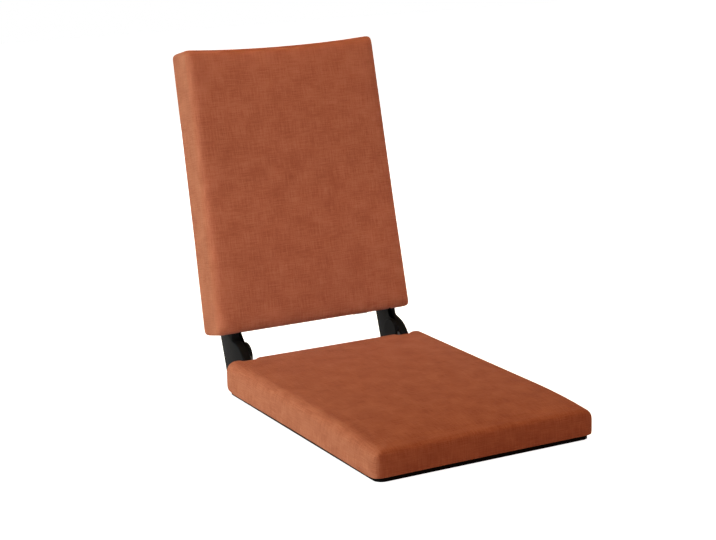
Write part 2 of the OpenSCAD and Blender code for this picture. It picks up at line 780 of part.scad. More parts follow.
// The curved slot in an arm's plate: its ends meet the stop pin, open and folded
module stop_slot() {
    slot_r = stop_pin_d / 2 + free_gap;
    to = stop_pin_angle + back_lean;
    from = to - fold_angle;
    far = 2 * arm_disc_r;
    intersection() {
        difference() {
            circle(r = stop_pin_reach + slot_r, $fn = round_fn);
            circle(r = stop_pin_reach - slot_r, $fn = round_fn);
        }
        polygon([[0, 0], far * [cos(from), sin(from)],
            far * [cos((from + to) / 2), sin((from + to) / 2)], far * [cos(to), sin(to)]]);
    }
    for (a = [from, to]) translate(stop_pin_reach * [cos(a), sin(a)])
        circle(r = slot_r, $fn = round_fn);
}

screw_boss_r = screw_d / 2 + screw_boss_wall;

module back_arm(left) {
    color(steel_colour) in_back() side(left) difference() {
        union() {
            along_x(arm_plate_inner_x, arm_plate_outer_x) difference() {
                union() {
                    polygon(arm_points(arm_plate_inset, cover_top));
                    translate([neck_front + arm_plate_inset, arm_disc_r])
                        square([back_board_v - neck_front - arm_plate_inset,
                            pad_gap + arm_plate_reach]);
                }
                circle(d = bush_outer_d + 2 * fit_gap, $fn = round_fn);
                stop_slot();
                for (p = arm_screws) translate(p)
                    circle(r = screw_boss_r + free_gap, $fn = small_fn);
            }
            translate([arm_plate_outer_x - flange_w, back_board_v - arm_plate_t, back_board_bottom])
                cube([flange_w, arm_plate_t, back_flange_len]);
        }
        back_bolt_places() flange_bolt_room(arm_plate_t, 0);
    }
}

module pivot_bushes() {
    color(nylon_colour) in_back() for (left = [true, false]) side(left) difference() {
        union() {
            bar_x(arm_plate_inner_x - fit_gap, arm_plate_outer_x, bush_outer_d);
            bar_x(arm_plate_inner_x - bush_flange_t, arm_plate_inner_x,
                pivot_d + 2 * play + 2 * bush_flange_wall);
        }
        bar_x(arm_plate_inner_x - bush_flange_t - over, arm_plate_outer_x + over,
            pivot_d + 2 * fit_gap);
    }
}

module arm_cover_outer(left) {
    color(moulding_colour) in_back() side(left) difference() {
        union() {
            difference() {
                arm_shell(arm_outer_x, arm_edge_r);
                along_x(seam_x - 2 * over, arm_outer_x - arm_wall)
                    polygon(arm_points(arm_wall, cover_top + over));
            }
            for (p = arm_screws) translate([0, p.x, p.y])
                bar_x(arm_plate_inner_x + fit_gap, arm_outer_x - arm_wall + over,
                    2 * screw_boss_r, small_fn);
        }
        for (p = arm_screws) translate([0, p.x, p.y])
            bar_x(arm_plate_inner_x - over, arm_outer_x - arm_wall - screw_end_gap + play,
                screw_d + 2 * fit_gap, small_fn);
    }
}

module arm_cover_inner(left) {
    color(moulding_colour) in_back() side(left) difference() {
        union() {
            difference() {
                arm_shell(arm_inner_x, arm_edge_r / 2);
                along_x(arm_inner_x + arm_wall, seam_x + 2 * over)
                    polygon(arm_points(arm_wall, cover_top + over));
                bar_x(arm_inner_x - over, seam_x, 2 * window_r);
            }
            for (p = arm_screws) translate([0, p.x, p.y])
                bar_x(arm_inner_x + fit_gap, arm_plate_inner_x,
                    screw_head_d + 2 * screw_boss_wall, small_fn);
        }
        for (p = arm_screws) translate([0, p.x, p.y]) {
            bar_x(arm_inner_x - over, arm_plate_inner_x + over, screw_d + 2 * bolt_clear, small_fn);
            bar_x(arm_inner_x - over, arm_inner_x + screw_head_t + fit_gap,
                screw_head_d + 2 * bolt_clear, small_fn);
        }
    }
}

module cover_screws() {
    color(zinc_colour) in_back() for (left = [true, false], p = arm_screws)
        side(left) translate([0, p.x, p.y]) difference() {
            union() {
                bar_x(arm_inner_x, arm_inner_x + screw_head_t, screw_head_d, small_fn);
                bar_x(arm_inner_x, arm_outer_x - arm_wall - screw_end_gap, screw_d, small_fn);
            }
            bar_x(arm_inner_x - over, arm_inner_x + screw_head_t / 2, screw_d, 6);
        }
}

back_board_w = back_w - 2 * back_board_inset;
back_board_h = back_board_top - back_board_bottom;

module back_board_block(g) {
    translate([0, back_board_v + back_board_t + g, (back_board_top + back_board_bottom) / 2])
        rotate([90, 0, 0]) linear_extrude(back_board_t + 2 * g)
            rounded_rect(back_board_w + 2 * g, back_board_h + 2 * g, back_board_corner_r);
}

module back_board() {
    color(board_colour) in_back() difference() {
        back_board_block(0);
        for (left = [true, false]) side(left) back_bolt_places() {
            flange_bolt_room(arm_plate_t, back_board_t);
            tee_nut_room(back_board_t);
        }
    }
}

module back_bolts() {
    color(zinc_colour) in_back() for (left = [true, false]) side(left)
        back_bolt_places() flange_bolt(arm_plate_t, back_board_t);
}

module back_tee_nuts() {
    color(zinc_colour) in_back() for (left = [true, false]) side(left)
        back_bolt_places() tee_nut(back_board_t);
}

// Room in the back pad for one covered arm, with its plate and flange
module arm_room(g) {
    translate([arm_inner_x - g, neck_front - g, 0])
        cube([arm_t + 2 * g, arm_rear + cover_top * tan(arm_slant) - neck_front + 2 * g,
            cover_top + g]);
    translate([arm_plate_inner_x - g, neck_front + arm_plate_inset - g, 0])
        cube([arm_plate_t + 2 * g, back_board_v - neck_front - arm_plate_inset + g,
            pad_bottom + arm_plate_reach + g]);
    translate([arm_plate_outer_x - flange_w - g, back_board_v - arm_plate_t - g, back_board_bottom - g])
        cube([flange_w + g, arm_plate_t + g + fit_gap, back_flange_len + 2 * g]);
    back_bolt_places() flange_bolt_room(arm_plate_t, 0);
}

zip_v = back_t * zip_v_share - pad_forward;

module zip_room(g) {
    translate([-zip_len / 2 - g, zip_v - zip_tape_w / 2 - g, pad_bottom + cover_t - g])
        cube([zip_len + 2 * g, zip_tape_w + 2 * g, zip_tape_t + zip_t + 2 * g]);
}

back_cut_w = back_w + back_taper;

module back_foam_front() {
    color(foam_colour) in_back() difference() {
        back_form(cover_t + foam_gap);
        translate([-back_cut_w / 2, back_board_v, 0])
            cube([back_cut_w, back_t, back_h + 2 * pad_bottom]);
        for (left = [true, false]) side(left) arm_room(free_gap);
        zip_room(foam_gap);
    }
}

module back_foam_rear() {
    color(foam_colour) in_back() difference() {
        back_form(cover_t + foam_gap);
        translate([-back_cut_w / 2, back_board_v - back_t + play, 0])
            cube([back_cut_w, back_t, back_h + 2 * pad_bottom]);
        back_board_block(play);
        for (left = [true, false]) side(left) {
            arm_room(free_gap);
            back_bolt_places() tee_nut_room(back_board_t + play);
        }
        zip_room(foam_gap);
    }
}

module back_cover() {
    color(fabric_colour) in_back() difference() {
        back_form(0);
        back_form(cover_t);
        for (left = [true, false]) side(left) arm_room(free_gap);
        translate([-zip_len / 2, zip_v - zip_width / 2 - fit_gap, pad_bottom - over])
            cube([zip_len, zip_width + 2 * fit_gap, cover_t + 2 * over]);
    }
}

// The zip under the back pad: its tape, its closed row of teeth, and its slider
module back_zip() {
    color(moulding_colour) in_back() {
        translate([-zip_len / 2, zip_v - zip_tape_w / 2, pad_bottom + cover_t + fit_gap])
            cube([zip_len, zip_tape_w, zip_tape_t]);
        translate([-zip_len / 2 + over, zip_v - zip_width / 2, pad_bottom + cover_t + fit_gap - zip_t])
            cube([zip_len - 2 * over, zip_width, zip_t]);
    }
    color(zinc_colour) in_back()
        translate([zip_len / 2 - zip_slider.y - over, zip_v - zip_slider.x / 2,
            pad_bottom + cover_t + fit_gap - zip_t - zip_slider.z]) {
            cube([zip_slider.y, zip_slider.x, zip_slider.z]);
            translate([-zip_puller.y, (zip_slider.x - zip_puller.x) / 2, 0])
                cube([zip_puller.y + over, zip_puller.x, zip_puller.z]);
        }
}

anti_slip_sheet();
base_tray();
base_screws();
seat_board();
seat_tee_nuts();
seat_foam();
seat_cover();
hinge_plate(true);  // hinge_plate_left
hinge_plate(false);  // hinge_plate_right
hinge_plate_bolts();
stop_pin(true);  // stop_pin_left
stop_pin(false);  // stop_pin_right
pivot_bolt(true);  // pivot_bolt_left
pivot_bolt(false);  // pivot_bolt_right
pivot_nuts();
spacer_rings();
thrust_washers();
disc_springs();
hinge_cap(true);  // hinge_cap_left
hinge_cap(false);  // hinge_cap_right
back_arm(true);  // back_arm_left
back_arm(false);  // back_arm_right
pivot_bushes();
arm_cover_outer(true);  // arm_cover_outer_left
arm_cover_outer(false);  // arm_cover_outer_right
arm_cover_inner(true);  // arm_cover_inner_left
arm_cover_inner(false);  // arm_cover_inner_right
cover_screws();
back_board();
back_bolts();
back_tee_nuts();
back_foam_front();
back_foam_rear();
back_cover();
back_zip();
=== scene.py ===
"""Folding floor chair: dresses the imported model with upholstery, finishes and a plain studio."""

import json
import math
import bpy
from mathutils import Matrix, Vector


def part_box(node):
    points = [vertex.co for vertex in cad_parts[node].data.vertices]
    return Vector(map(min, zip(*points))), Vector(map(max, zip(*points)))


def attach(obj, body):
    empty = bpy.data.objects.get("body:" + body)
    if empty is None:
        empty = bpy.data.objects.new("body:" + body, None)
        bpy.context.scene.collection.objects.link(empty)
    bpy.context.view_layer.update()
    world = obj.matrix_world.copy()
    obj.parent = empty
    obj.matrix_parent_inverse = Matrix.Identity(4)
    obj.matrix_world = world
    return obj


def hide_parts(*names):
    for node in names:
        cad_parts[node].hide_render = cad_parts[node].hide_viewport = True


bl_info = {
    "name": "Folding floor chair",
    "version": (1, 0, 0),
    "blender": (4, 5, 0),
    "location": "3D View > Sidebar > Floor chair",
    "description": "Upholsters and finishes a folding floor chair",
    "category": "Object",
}

import bmesh
import bpy
import numpy as np
from bpy.props import (
    FloatProperty,
    FloatVectorProperty,
    IntProperty,
    PointerProperty,
)
from mathutils import Matrix, Vector
from mathutils.bvhtree import BVHTree

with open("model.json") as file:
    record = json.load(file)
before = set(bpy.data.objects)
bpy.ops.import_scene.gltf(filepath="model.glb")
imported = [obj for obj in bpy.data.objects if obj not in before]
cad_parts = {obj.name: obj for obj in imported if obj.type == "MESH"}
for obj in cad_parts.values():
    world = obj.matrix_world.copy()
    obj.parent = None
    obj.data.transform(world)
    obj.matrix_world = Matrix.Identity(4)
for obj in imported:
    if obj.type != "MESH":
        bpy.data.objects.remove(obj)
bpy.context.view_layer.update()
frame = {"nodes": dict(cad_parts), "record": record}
NODES = frame["nodes"]
BEHAVIOUR = frame["record"]["behaviour"]
HINGE = Vector(BEHAVIOUR["joints"][0]["pos_m"])
SEAT_LOW, SEAT_HIGH = (Vector(corner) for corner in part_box("seat_cover"))
SHEET_LOW, SHEET_HIGH = (Vector(corner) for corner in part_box("anti_slip_sheet"))
ZIP_LOW, ZIP_HIGH = (Vector(corner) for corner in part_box("back_zip"))
CAP_INNER_X = Vector(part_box("hinge_cap_right")[0]).x
ARM_OUTER_X = Vector(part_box("arm_cover_outer_right")[1]).x
CLOTH_UV = "cloth"

# Meshes: how close two points are merged, how far the nearest surface is looked for, and the
# angles past which an edge of a block or of a moulding stays sharp
MERGE = 1e-5
NEAR = 0.012
BLOCK_SHARP, MOULDING_SHARP = math.radians(35), math.radians(33)

# Foam lies this far inside its cover
FOAM_GAP = 0.0010

# The seat cushion: room beside a hinge, how firmly and how far round it the cloth is held, how
# far round it the filled cloth may leave its form, the height of the hem that is held, the ends
# that don't hang and over what length the hanging comes, how far in from the sides it starts
# and over what width it comes, and the height over which it fades
HINGE_ROOM = 0.0015
HINGE_HOLD, HINGE_HOLD_REACH = 1.4, 0.008
HINGE_FREE = 0.002
HEM_HELD = 0.004
SKIRT_ENDS, SKIRT_ENDS_REACH = 0.004, 0.024
SKIRT_IN, SKIRT_WIDTH, SKIRT_HEIGHT = 0.0064, 0.0030, 0.020

# The back cushion: how far above its underside the cloth is held, and how quickly that fades
UNDERSIDE_HELD, UNDERSIDE_FADE = 0.006, 0.003

# The zip: half sizes, heights and roundings of its parts, how far each lies below the back, and
# how far its slider and puller lie in from its end
TAPE_HEIGHT, TAPE_ROUNDING, TAPE_DROP = 0.0007, 0.0002, 0.0001
TEETH_END, TEETH_DROP, TOOTH_SLANT = 0.002, 0.0004, 0.14
SLIDER_HALF, SLIDER_HEIGHT, SLIDER_ROUNDING = (0.006, 0.004), 0.0026, 0.0007
SLIDER_IN, SLIDER_DROP = 0.008, 0.0030
PULLER_HALF, PULLER_HEIGHT, PULLER_ROUNDING = (0.0105, 0.002), 0.0010, 0.0004
PULLER_IN, PULLER_DROP = 0.0195, 0.0028

# A dot of the grip sheet: how wide its foot on the floor is, as a share of its root
DOT_FOOT_SHARE = 0.72

# Finishes: thickness of a ply, and the ribs and picks of the zip's tape
PLY = 0.0015
TAPE_RIB, TAPE_PICK = 0.0007, 0.0006

# The studio: half the floor's side, how far it lies below the chair, its own white and the
# sky's tint, and the narrow beam of the lights on the back
FLOOR_HALF, FLOOR_DROP, FLOOR_GLOW = 6.0, 0.0003, 0.92
SKY_TINT = (1, 0.99, 0.89, 1)
WHITE = (1, 1, 1, 1)
BACK_BEAM = math.radians(4)

# The camera that was fitted to the outlines: yaw, pitch and roll, place and lens in mm
CAMERA_TURN = tuple(math.radians(angle) for angle in (28.2845, 13.5327, 1.2505))
CAMERA_PLACE = (-1.42296, -2.50202, 0.94416)
CAMERA_LENS, CAMERA_SENSOR = 90.623, 36.0


def colour_property(name, description, default):
    return FloatVectorProperty(
        name=name,
        description=description,
        subtype="COLOR",
        size=3,
        min=0.0,
        max=1.0,
        default=default,
    )


def length_property(name, description, default):
    return FloatProperty(
        name=name,
        description=description,
        subtype="DISTANCE",
        unit="LENGTH",
        min=0.0,
        precision=4,
        default=default,
    )


class SeatCushionSizes(bpy.types.PropertyGroup):
    """Sizes of the seat cushion"""

    width: length_property("Width", "Side to side", SEAT_HIGH.x - SEAT_LOW.x + 0.002)
    depth: length_property("Depth", "Front to back", SEAT_HIGH.y - SEAT_LOW.y)
    crown: length_property("Crown", "Rise of the middle above the edges", 0.004)
    corner: length_property("Corner radius", "Corners seen from above", 0.0135)
    edge: length_property("Top edge", "Rounding of the top edge along its sides", 0.019)
    end_reach: length_property("End rounding", "Its reach at the front and rear", 0.009)
    hem: length_property("Hem", "Rounding of the bottom edge", 0.006)
    plump: length_property("Plump", "Height of its top edge above the hinge axis", 0.0015)
    fall: length_property("Front fall", "How much lower the front edge lies", 0.0088)
    fall_reach: length_property("Reach of the fall", "Where it starts, from the front", 0.145)
    draw: length_property("Draw", "How far each side draws in", 0.0015)
    pocket: length_property("Hinge pocket", "Radius of the room round a hinge", 0.0325)
    skirt: length_property("Skirt", "How far the sides hang below the hem of the ends", 0.0056)


class BackCushionSizes(bpy.types.PropertyGroup):
    """Sizes of the back cushion"""

    width: length_property("Width", "Side to side, at half its height", 0.383)
    taper: length_property("Taper", "How much narrower its top is than its bottom", 0.016)
    height: length_property("Height", "Along its slope", 0.5058)
    thickness: length_property("Thickness", "At its edges", 0.081)
    crown: length_property("Crown", "Rise of the middle of the front", 0.005)
    rear_crown: length_property("Rear crown", "Rise of the middle of the rear", 0.003)
    corner: length_property("Corner radius", "Corners seen from the front", 0.008)
    edge: length_property("Edge", "Rounding of the long edges", 0.016)
    sag: length_property("Top sag", "Sag of the top edge between its corners", 0.0065)
    draw: length_property("Draw", "How far the sides draw in", 0.0008)
    bottom: length_property("Bottom", "Height above the hinge axis", 0.0392)
    forward: length_property("Front", "Distance in front of the hinge axis", 0.006)
    lean: FloatProperty(
        name="Lean",
        description="Lean of the open back from the vertical",
        subtype="ANGLE",
        default=math.radians(13.0),
    )


class StuffingValues(bpy.types.PropertyGroup):
    """How the foam fills out the covers"""

    voxel: length_property("Mesh size", "Size of the cloth's cells", 0.005)
    pressure: FloatProperty(
        name="Pressure", description="Pressure inside a cover", default=4.0
    )
    room: length_property("Swell", "How far a cover starts inside its form", 0.0022)
    limit: length_property("Most swell", "The most that a point may move", 0.0035)
    play: length_property("Play", "How far the filled cover may differ from its form", 0.0003)
    steps: IntProperty(name="Steps", description="Frames of simulation", default=20)


class ClothLook(bpy.types.PropertyGroup):
    """The woven cover's colours and threads"""

    colour: colour_property("Yarn", "Main colour of the yarn", (0.337, 0.100, 0.047))
    dark: colour_property("Dark yarn", "Colour of the dark slubs", (0.262, 0.069, 0.031))
    light: colour_property("Light yarn", "Colour of the light slubs", (0.412, 0.136, 0.068))
    pitch: length_property("Thread pitch", "Distance between two threads", 0.0011)


class HardLook(bpy.types.PropertyGroup):
    """Colours of the moulded, metal, nylon, board, foam and sheet pieces"""

    moulding: colour_property("Moulding", "Black moulded plastic", (0.0040, 0.0040, 0.0043))
    base: colour_property("Base", "Black of the moulded base", (0.0045, 0.0036, 0.0032))
    coat: colour_property("Powder coat", "Black coat of the steel", (0.016, 0.016, 0.017))
    zinc: colour_property("Zinc", "Zinc plating", (0.62, 0.64, 0.66))
    steel: colour_property("Steel", "Plain steel", (0.50, 0.51, 0.53))
    nylon: colour_property("Nylon", "Natural nylon", (0.78, 0.75, 0.67))
    board: colour_property("Board", "Birch plywood", (0.60, 0.42, 0.24))
    foam: colour_property("Foam", "Seat foam", (0.82, 0.72, 0.45))
    grip: colour_property("Grip sheet", "Anti-slip sheet", (0.022, 0.022, 0.023))


class ZipSizes(bpy.types.PropertyGroup):
    """Sizes of the zip under the back"""

    length: length_property("Length", "Side to side", ZIP_HIGH.x - ZIP_LOW.x)
    middle: length_property("Middle", "Distance behind the hinge axis", 0.041)
    pitch: length_property("Tooth pitch", "Distance between two teeth", 0.0019)
    tooth: length_property("Tooth width", "Length of a tooth across the zip", 0.0046)
    wire: length_property("Tooth radius", "Radius of the coil's wire", 0.0007)
    tape: length_property("Tape width", "Width of the tape that shows", 0.0120)


class GripSizes(bpy.types.PropertyGroup):
    """Sizes of the dots under the base"""

    pitch: length_property("Dot pitch", "Distance between two dots", 0.0125)
    radius: length_property("Dot radius", "Radius of a dot", 0.0022)
    height: length_property("Dot height", "Height of a dot", 0.0004)
    corner: length_property("Corner radius", "Corners of the sheet", 0.016)


class StageLook(bpy.types.PropertyGroup):
    """Studio light and floor"""

    floor: colour_property("Floor", "Colour of the floor", (0.80, 0.80, 0.80))
    side_light: FloatProperty(name="Side light", description="Watts", default=109.9)
    top_light: FloatProperty(name="Top light", description="Watts", default=10.3)
    top_rear_light: FloatProperty(name="Rear top light", description="Watts", default=17.8)
    fill_light: FloatProperty(name="Fill light", description="Watts", default=15.5)
    front_light: FloatProperty(name="Front light", description="Watts", default=13.8)
    rear_light: FloatProperty(name="Rear light", description="Watts", default=17.2)
    back_light: FloatProperty(name="Light on the back", description="Watts", default=0.70)
    back_low_light: FloatProperty(name="Light low on the back", description="Watts", default=0.055)
    ambient: FloatProperty(name="Ambient", description="Strength of the sky", default=0.20)


SETTINGS = {
    "seat": SeatCushionSizes,
    "back": BackCushionSizes,
    "stuffing": StuffingValues,
    "cloth": ClothLook,
    "hard": HardLook,
    "zip": ZipSizes,
    "grip": GripSizes,
    "stage": StageLook,
}


def settings(name):
    return getattr(bpy.context.scene, "floorchair_" + name)


class Wire:
    """A socket of a material's tree, on which Python's operators add Math nodes"""

    def __init__(self, paint, socket):
        self.paint = paint
        self.socket = socket

    def maths(self, operation, *values):
        return self.paint.node("ShaderNodeMath", {"operation": operation}, values)

    def __add__(self, other):
        return self.maths("ADD", self, other)

    def __sub__(self, other):
        return self.maths("SUBTRACT", self, other)

    def __rsub__(self, other):
        return self.maths("SUBTRACT", other, self)

    def __mul__(self, other):
        return self.maths("MULTIPLY", self, other)

    def __truediv__(self, other):
        return self.maths("DIVIDE", self, other)

    __radd__ = __add__
    __rmul__ = __mul__

    def floor(self):
        return self.maths("FLOOR", self)

    def part(self):
        return self.maths("FRACT", self)

    def sine(self):
        return self.maths("SINE", self)

    def arch(self):
        """Height of a round thread across one cell: 0 at its sides, 1 in its middle"""
        side = self.part() * 2.0 - 1.0
        return 1.0 - side * side


class Paint:
    """A material in the making"""

    def __init__(self, name, roughness=0.5, metallic=0.0, **fixed):
        self.material = bpy.data.materials.new(name)
        self.material.use_nodes = True
        self.tree = self.material.node_tree
        self.tree.nodes.clear()
        self.shader = self.tree.nodes.new("ShaderNodeBsdfPrincipled")
        self.shader.inputs["Roughness"].default_value = roughness
        self.shader.inputs["Metallic"].default_value = metallic
        for key, value in fixed.items():
            self.shader.inputs[key.replace("_", " ").title()].default_value = value
        output = self.tree.nodes.new("ShaderNodeOutputMaterial")
        self.tree.links.new(self.shader.outputs[0], output.inputs["Surface"])

    def node(self, kind, fixed=None, values=(), output=0):
        """A node with its settings, fed with numbers or wires by place or by name"""
        node = self.tree.nodes.new(kind)
        for key, value in (fixed or {}).items():
            if key == "stops":
                ramp = node.color_ramp
                while len(ramp.elements) < len(value):
                    ramp.elements.new(0.5)
                for element, (place, colour) in zip(ramp.elements, value):
                    element.position = place
                    element.color = (*colour, 1.0)
            else:
                setattr(node, key, value)
        named = values.items() if isinstance(values, dict) else enumerate(values)
        for key, value in named:
            self.feed(node.inputs[key], value)
        return Wire(self, node.outputs[output])

    def feed(self, socket, value):
        if isinstance(value, Wire):
            self.tree.links.new(value.socket, socket)
        else:
            socket.default_value = value

    def place(self):
        return self.node("ShaderNodeTexCoord", output="Object")

    def cloth_place(self):
        return self.node("ShaderNodeUVMap", {"uv_map": CLOTH_UV})

    def split(self, vector):
        node = self.node("ShaderNodeSeparateXYZ", values=(vector,))
        return [Wire(self, socket) for socket in node.socket.node.outputs]

    def join(self, x, y, z=0.0):
        return self.node("ShaderNodeCombineXYZ", values=(x, y, z))

    def noise(self, vector, scale=1.0, detail=2.0, roughness=0.5):
        values = {"Vector": vector, "Scale": scale, "Detail": detail, "Roughness": roughness}
        return self.node("ShaderNodeTexNoise", values=values)

    def cells(self, vector, scale):
        return self.node("ShaderNodeTexVoronoi", values={"Vector": vector, "Scale": scale})

    def blend(self, share, first, second):
        node = self.node("ShaderNodeMix", {"data_type": "RGBA"}, {0: share}, output=2)
        self.feed(node.socket.node.inputs[6], self.tint(first))
        self.feed(node.socket.node.inputs[7], self.tint(second))
        return node

    def shades(self, tone, dark, middle, light):
        """A colour that goes from dark through its middle to light as the tone rises"""
        stops = [(0.2, dark), (0.5, middle), (0.8, light)]
        return self.node("ShaderNodeValToRGB", {"stops": stops}, (tone,))

    @staticmethod
    def tint(value):
        return value if isinstance(value, Wire) else (*value, 1.0)

    def colour(self, value):
        self.feed(self.shader.inputs["Base Color"], self.tint(value))

    def rough(self, value):
        self.feed(self.shader.inputs["Roughness"], value)

    def relief(self, height, depth, strength=1.0):
        values = {"Height": height, "Distance": depth, "Strength": strength}
        bump = self.node("ShaderNodeBump", values=values)
        self.feed(self.shader.inputs["Normal"], bump)


def scaled(colour, factor):
    return tuple(min(1.0, part * factor) for part in colour)


def woven_cloth():
    """Plain-woven terracotta cloth with slubby threads and painted shade between its threads"""
    look = settings("cloth")
    # How high a thread stays where it dips, and a slub's rate across and along its thread
    dip, fine, long, apart = 0.45, 0.8, 0.035, 9.0
    # What slubs and clouds add to the tone, the painted shade between threads and its share, and
    # the height of a thread
    slub_share, cloud_share, tone_drop = 2.1, 0.9, 1.0
    painted_gap_shade, painted_gap_shade_share, thread_share = 0.62, 0.45, 0.22
    paint = Paint("woven_cloth", roughness=0.92, sheen_weight=0.02, sheen_roughness=0.45)
    paint.shader.inputs["Specular IOR Level"].default_value = 0.18
    across, along, _ = paint.split(paint.cloth_place())
    warp, weft = across / look.pitch, along / look.pitch
    warp_on_top = ((warp.floor() + weft.floor()) * 0.5).part() * 2.0
    weft_on_top = 1.0 - warp_on_top
    warp_height = warp.arch() * (dip + (1 - dip) * weft.arch())
    weft_height = weft.arch() * (dip + (1 - dip) * warp.arch())
    height = warp_height * warp_on_top + weft_height * weft_on_top
    warp_slub = paint.noise(paint.join(warp * fine, weft * long), detail=3.0, roughness=0.6)
    weft_slub = paint.noise(paint.join(warp * long, weft * fine, apart), detail=3.0, roughness=0.6)
    slub = warp_slub * warp_on_top + weft_slub * weft_on_top
    cloud = paint.noise(paint.cloth_place(), scale=26.0, detail=3.0, roughness=0.55)
    tone = slub * slub_share + cloud * cloud_share - tone_drop
    yarn = paint.shades(tone, look.dark, look.colour, look.light)
    # Painted shade: the yarn darkens where each thread dips down between its neighbours
    yarn_with_painted_shade = paint.blend(height, scaled(look.dark, painted_gap_shade), yarn)
    paint.colour(paint.blend(painted_gap_shade_share, yarn, yarn_with_painted_shade))
    paint.relief(height + slub * 0.5, depth=look.pitch * thread_share, strength=0.55)
    return paint.material


def moulded_plastic(name, colour, grain=2200.0, roughness=0.5, ior=1.08):
    """Fine-grained moulded plastic with slight flow marks"""
    paint = Paint(name, roughness=roughness)
    paint.shader.inputs["IOR"].default_value = ior
    place = paint.place()
    grains = paint.cells(place, scale=grain)
    flow = paint.noise(place, scale=18.0, detail=3.0, roughness=0.6)
    paint.colour(paint.blend(flow, scaled(colour, 0.85), scaled(colour, 1.2)))
    paint.rough(roughness - 0.05 + flow * 0.1)
    paint.relief(grains + paint.noise(place, scale=grain * 0.4) * 0.6, depth=0.00006, strength=0.5)
    return paint.material


def powder_coat():
    """Black powder coat with a light orange peel"""
    colour = settings("hard").coat
    paint = Paint("powder_coat", roughness=0.38)
    place = paint.place()
    peel = paint.noise(place, scale=900.0, detail=2.0, roughness=0.5)
    paint.colour(paint.blend(peel, scaled(colour, 0.8), scaled(colour, 1.25)))
    paint.rough(0.34 + paint.noise(place, scale=60.0) * 0.1)
    paint.relief(peel, depth=0.00008, strength=0.6)
    return paint.material


def plated_metal(name, colour, roughness, streak=(40.0, 900.0, 900.0)):
    """Metal with fine drawn streaks and a cloudy plating"""
    paint = Paint(name, roughness=roughness, metallic=1.0)
    place = paint.place()
    x, y, z = paint.split(place)
    drawn = paint.join(x * streak[0], y * streak[1], z * streak[2])
    streaks = paint.noise(drawn, detail=2.0, roughness=0.6)
    cloud = paint.noise(place, scale=140.0, detail=3.0, roughness=0.6)
    paint.colour(paint.blend(cloud, scaled(colour, 0.86), scaled(colour, 1.1)))
    paint.rough(roughness - 0.08 + cloud * 0.08 + streaks * 0.08)
    paint.relief(streaks, depth=0.00002, strength=0.35)
    return paint.material


def cast_nylon():
    """Natural nylon, slightly translucent"""
    colour = settings("hard").nylon
    paint = Paint("cast_nylon", roughness=0.36, subsurface_weight=0.15)
    paint.shader.inputs["Subsurface Scale"].default_value = 0.001
    place = paint.place()
    cloud = paint.noise(place, scale=220.0, detail=2.0)
    paint.colour(paint.blend(cloud, scaled(colour, 0.92), scaled(colour, 1.05)))
    paint.relief(cloud, depth=0.00003, strength=0.3)
    return paint.material


def plywood(name, origin, lean):
    """Birch plywood: grain on its faces, dark and pale plies on its edges"""
    colour = settings("hard").board
    paint = Paint(name, roughness=0.62)
    x, y, z = paint.split(paint.place())
    # Fibres per metre across and along the grain, and how the pattern shifts from ply to ply
    fine, long, with_shift, cross_shift = 420.0, 14.0, 3.1, 1.7
    through = (y - origin.y) * math.sin(lean) + (z - origin.z) * math.cos(lean)
    along = (y - origin.y) * math.cos(lean) - (z - origin.z) * math.sin(lean)
    ply = (through / PLY).floor()
    crossed = (ply * 0.5).part() * 2.0
    with_place = paint.join(x * fine, along * long, ply * with_shift)
    cross_place = paint.join(x * long, along * fine, ply * cross_shift)
    with_grain = paint.noise(with_place, detail=4.0, roughness=0.6)
    cross_grain = paint.noise(cross_place, detail=4.0, roughness=0.6)
    grain = with_grain * (1.0 - crossed) + cross_grain * crossed
    wander = paint.noise(paint.join(x * 8.0, along * 2.5), detail=2.0) * 9.0
    figure = ((x * 60.0 + wander).sine() + 1.0) * 0.5
    tone = grain * 0.7 + figure * 0.15 + crossed * 0.15
    paint.colour(paint.shades(tone, scaled(colour, 0.62), colour, scaled(colour, 1.22)))
    paint.relief(grain, depth=0.00012, strength=0.4)
    return paint.material


def open_foam():
    """Open-cell foam"""
    colour = settings("hard").foam
    paint = Paint("open_foam", roughness=0.95)
    place = paint.place()
    pores = paint.cells(place, scale=900.0)
    cloud = paint.noise(place, scale=30.0, detail=3.0)
    # Painted shade: each pore is darker towards its middle, lighter on the cell walls
    pores_with_painted_shade = paint.blend(pores, scaled(colour, 0.7), scaled(colour, 1.1))
    paint.colour(paint.blend(cloud * 0.5, pores_with_painted_shade, scaled(colour, 0.9)))
    paint.relief(pores, depth=0.0004, strength=0.7)
    return paint.material


def grip_sheet_look():
    """Black needle felt of the anti-slip sheet"""
    colour = settings("hard").grip
    paint = Paint("grip_felt", roughness=0.9, sheen_weight=0.15)
    x, y, z = paint.split(paint.place())
    # Fibres per metre across and along their run, and the other layer's place in the noise
    fine, long, apart = 1300.0, 420.0, 4.0
    fibre = paint.noise(paint.join(x * fine, y * long, z), detail=4.0, roughness=0.7)
    cross = paint.noise(paint.join(x * long, y * fine, z + apart), detail=4.0, roughness=0.7)
    felt = fibre * 0.5 + cross * 0.5
    paint.colour(paint.blend(felt, scaled(colour, 0.6), scaled(colour, 1.8)))
    paint.relief(felt, depth=0.0002, strength=0.7)
    return paint.material


def grip_dot_look():
    """Soft black dots of the anti-slip sheet"""
    colour = settings("hard").grip
    paint = Paint("grip_dots", roughness=0.5)
    speck = paint.noise(paint.place(), scale=1500.0, detail=2.0)
    paint.colour(paint.blend(speck, scaled(colour, 0.8), scaled(colour, 1.5)))
    paint.relief(speck, depth=0.00004, strength=0.4)
    return paint.material


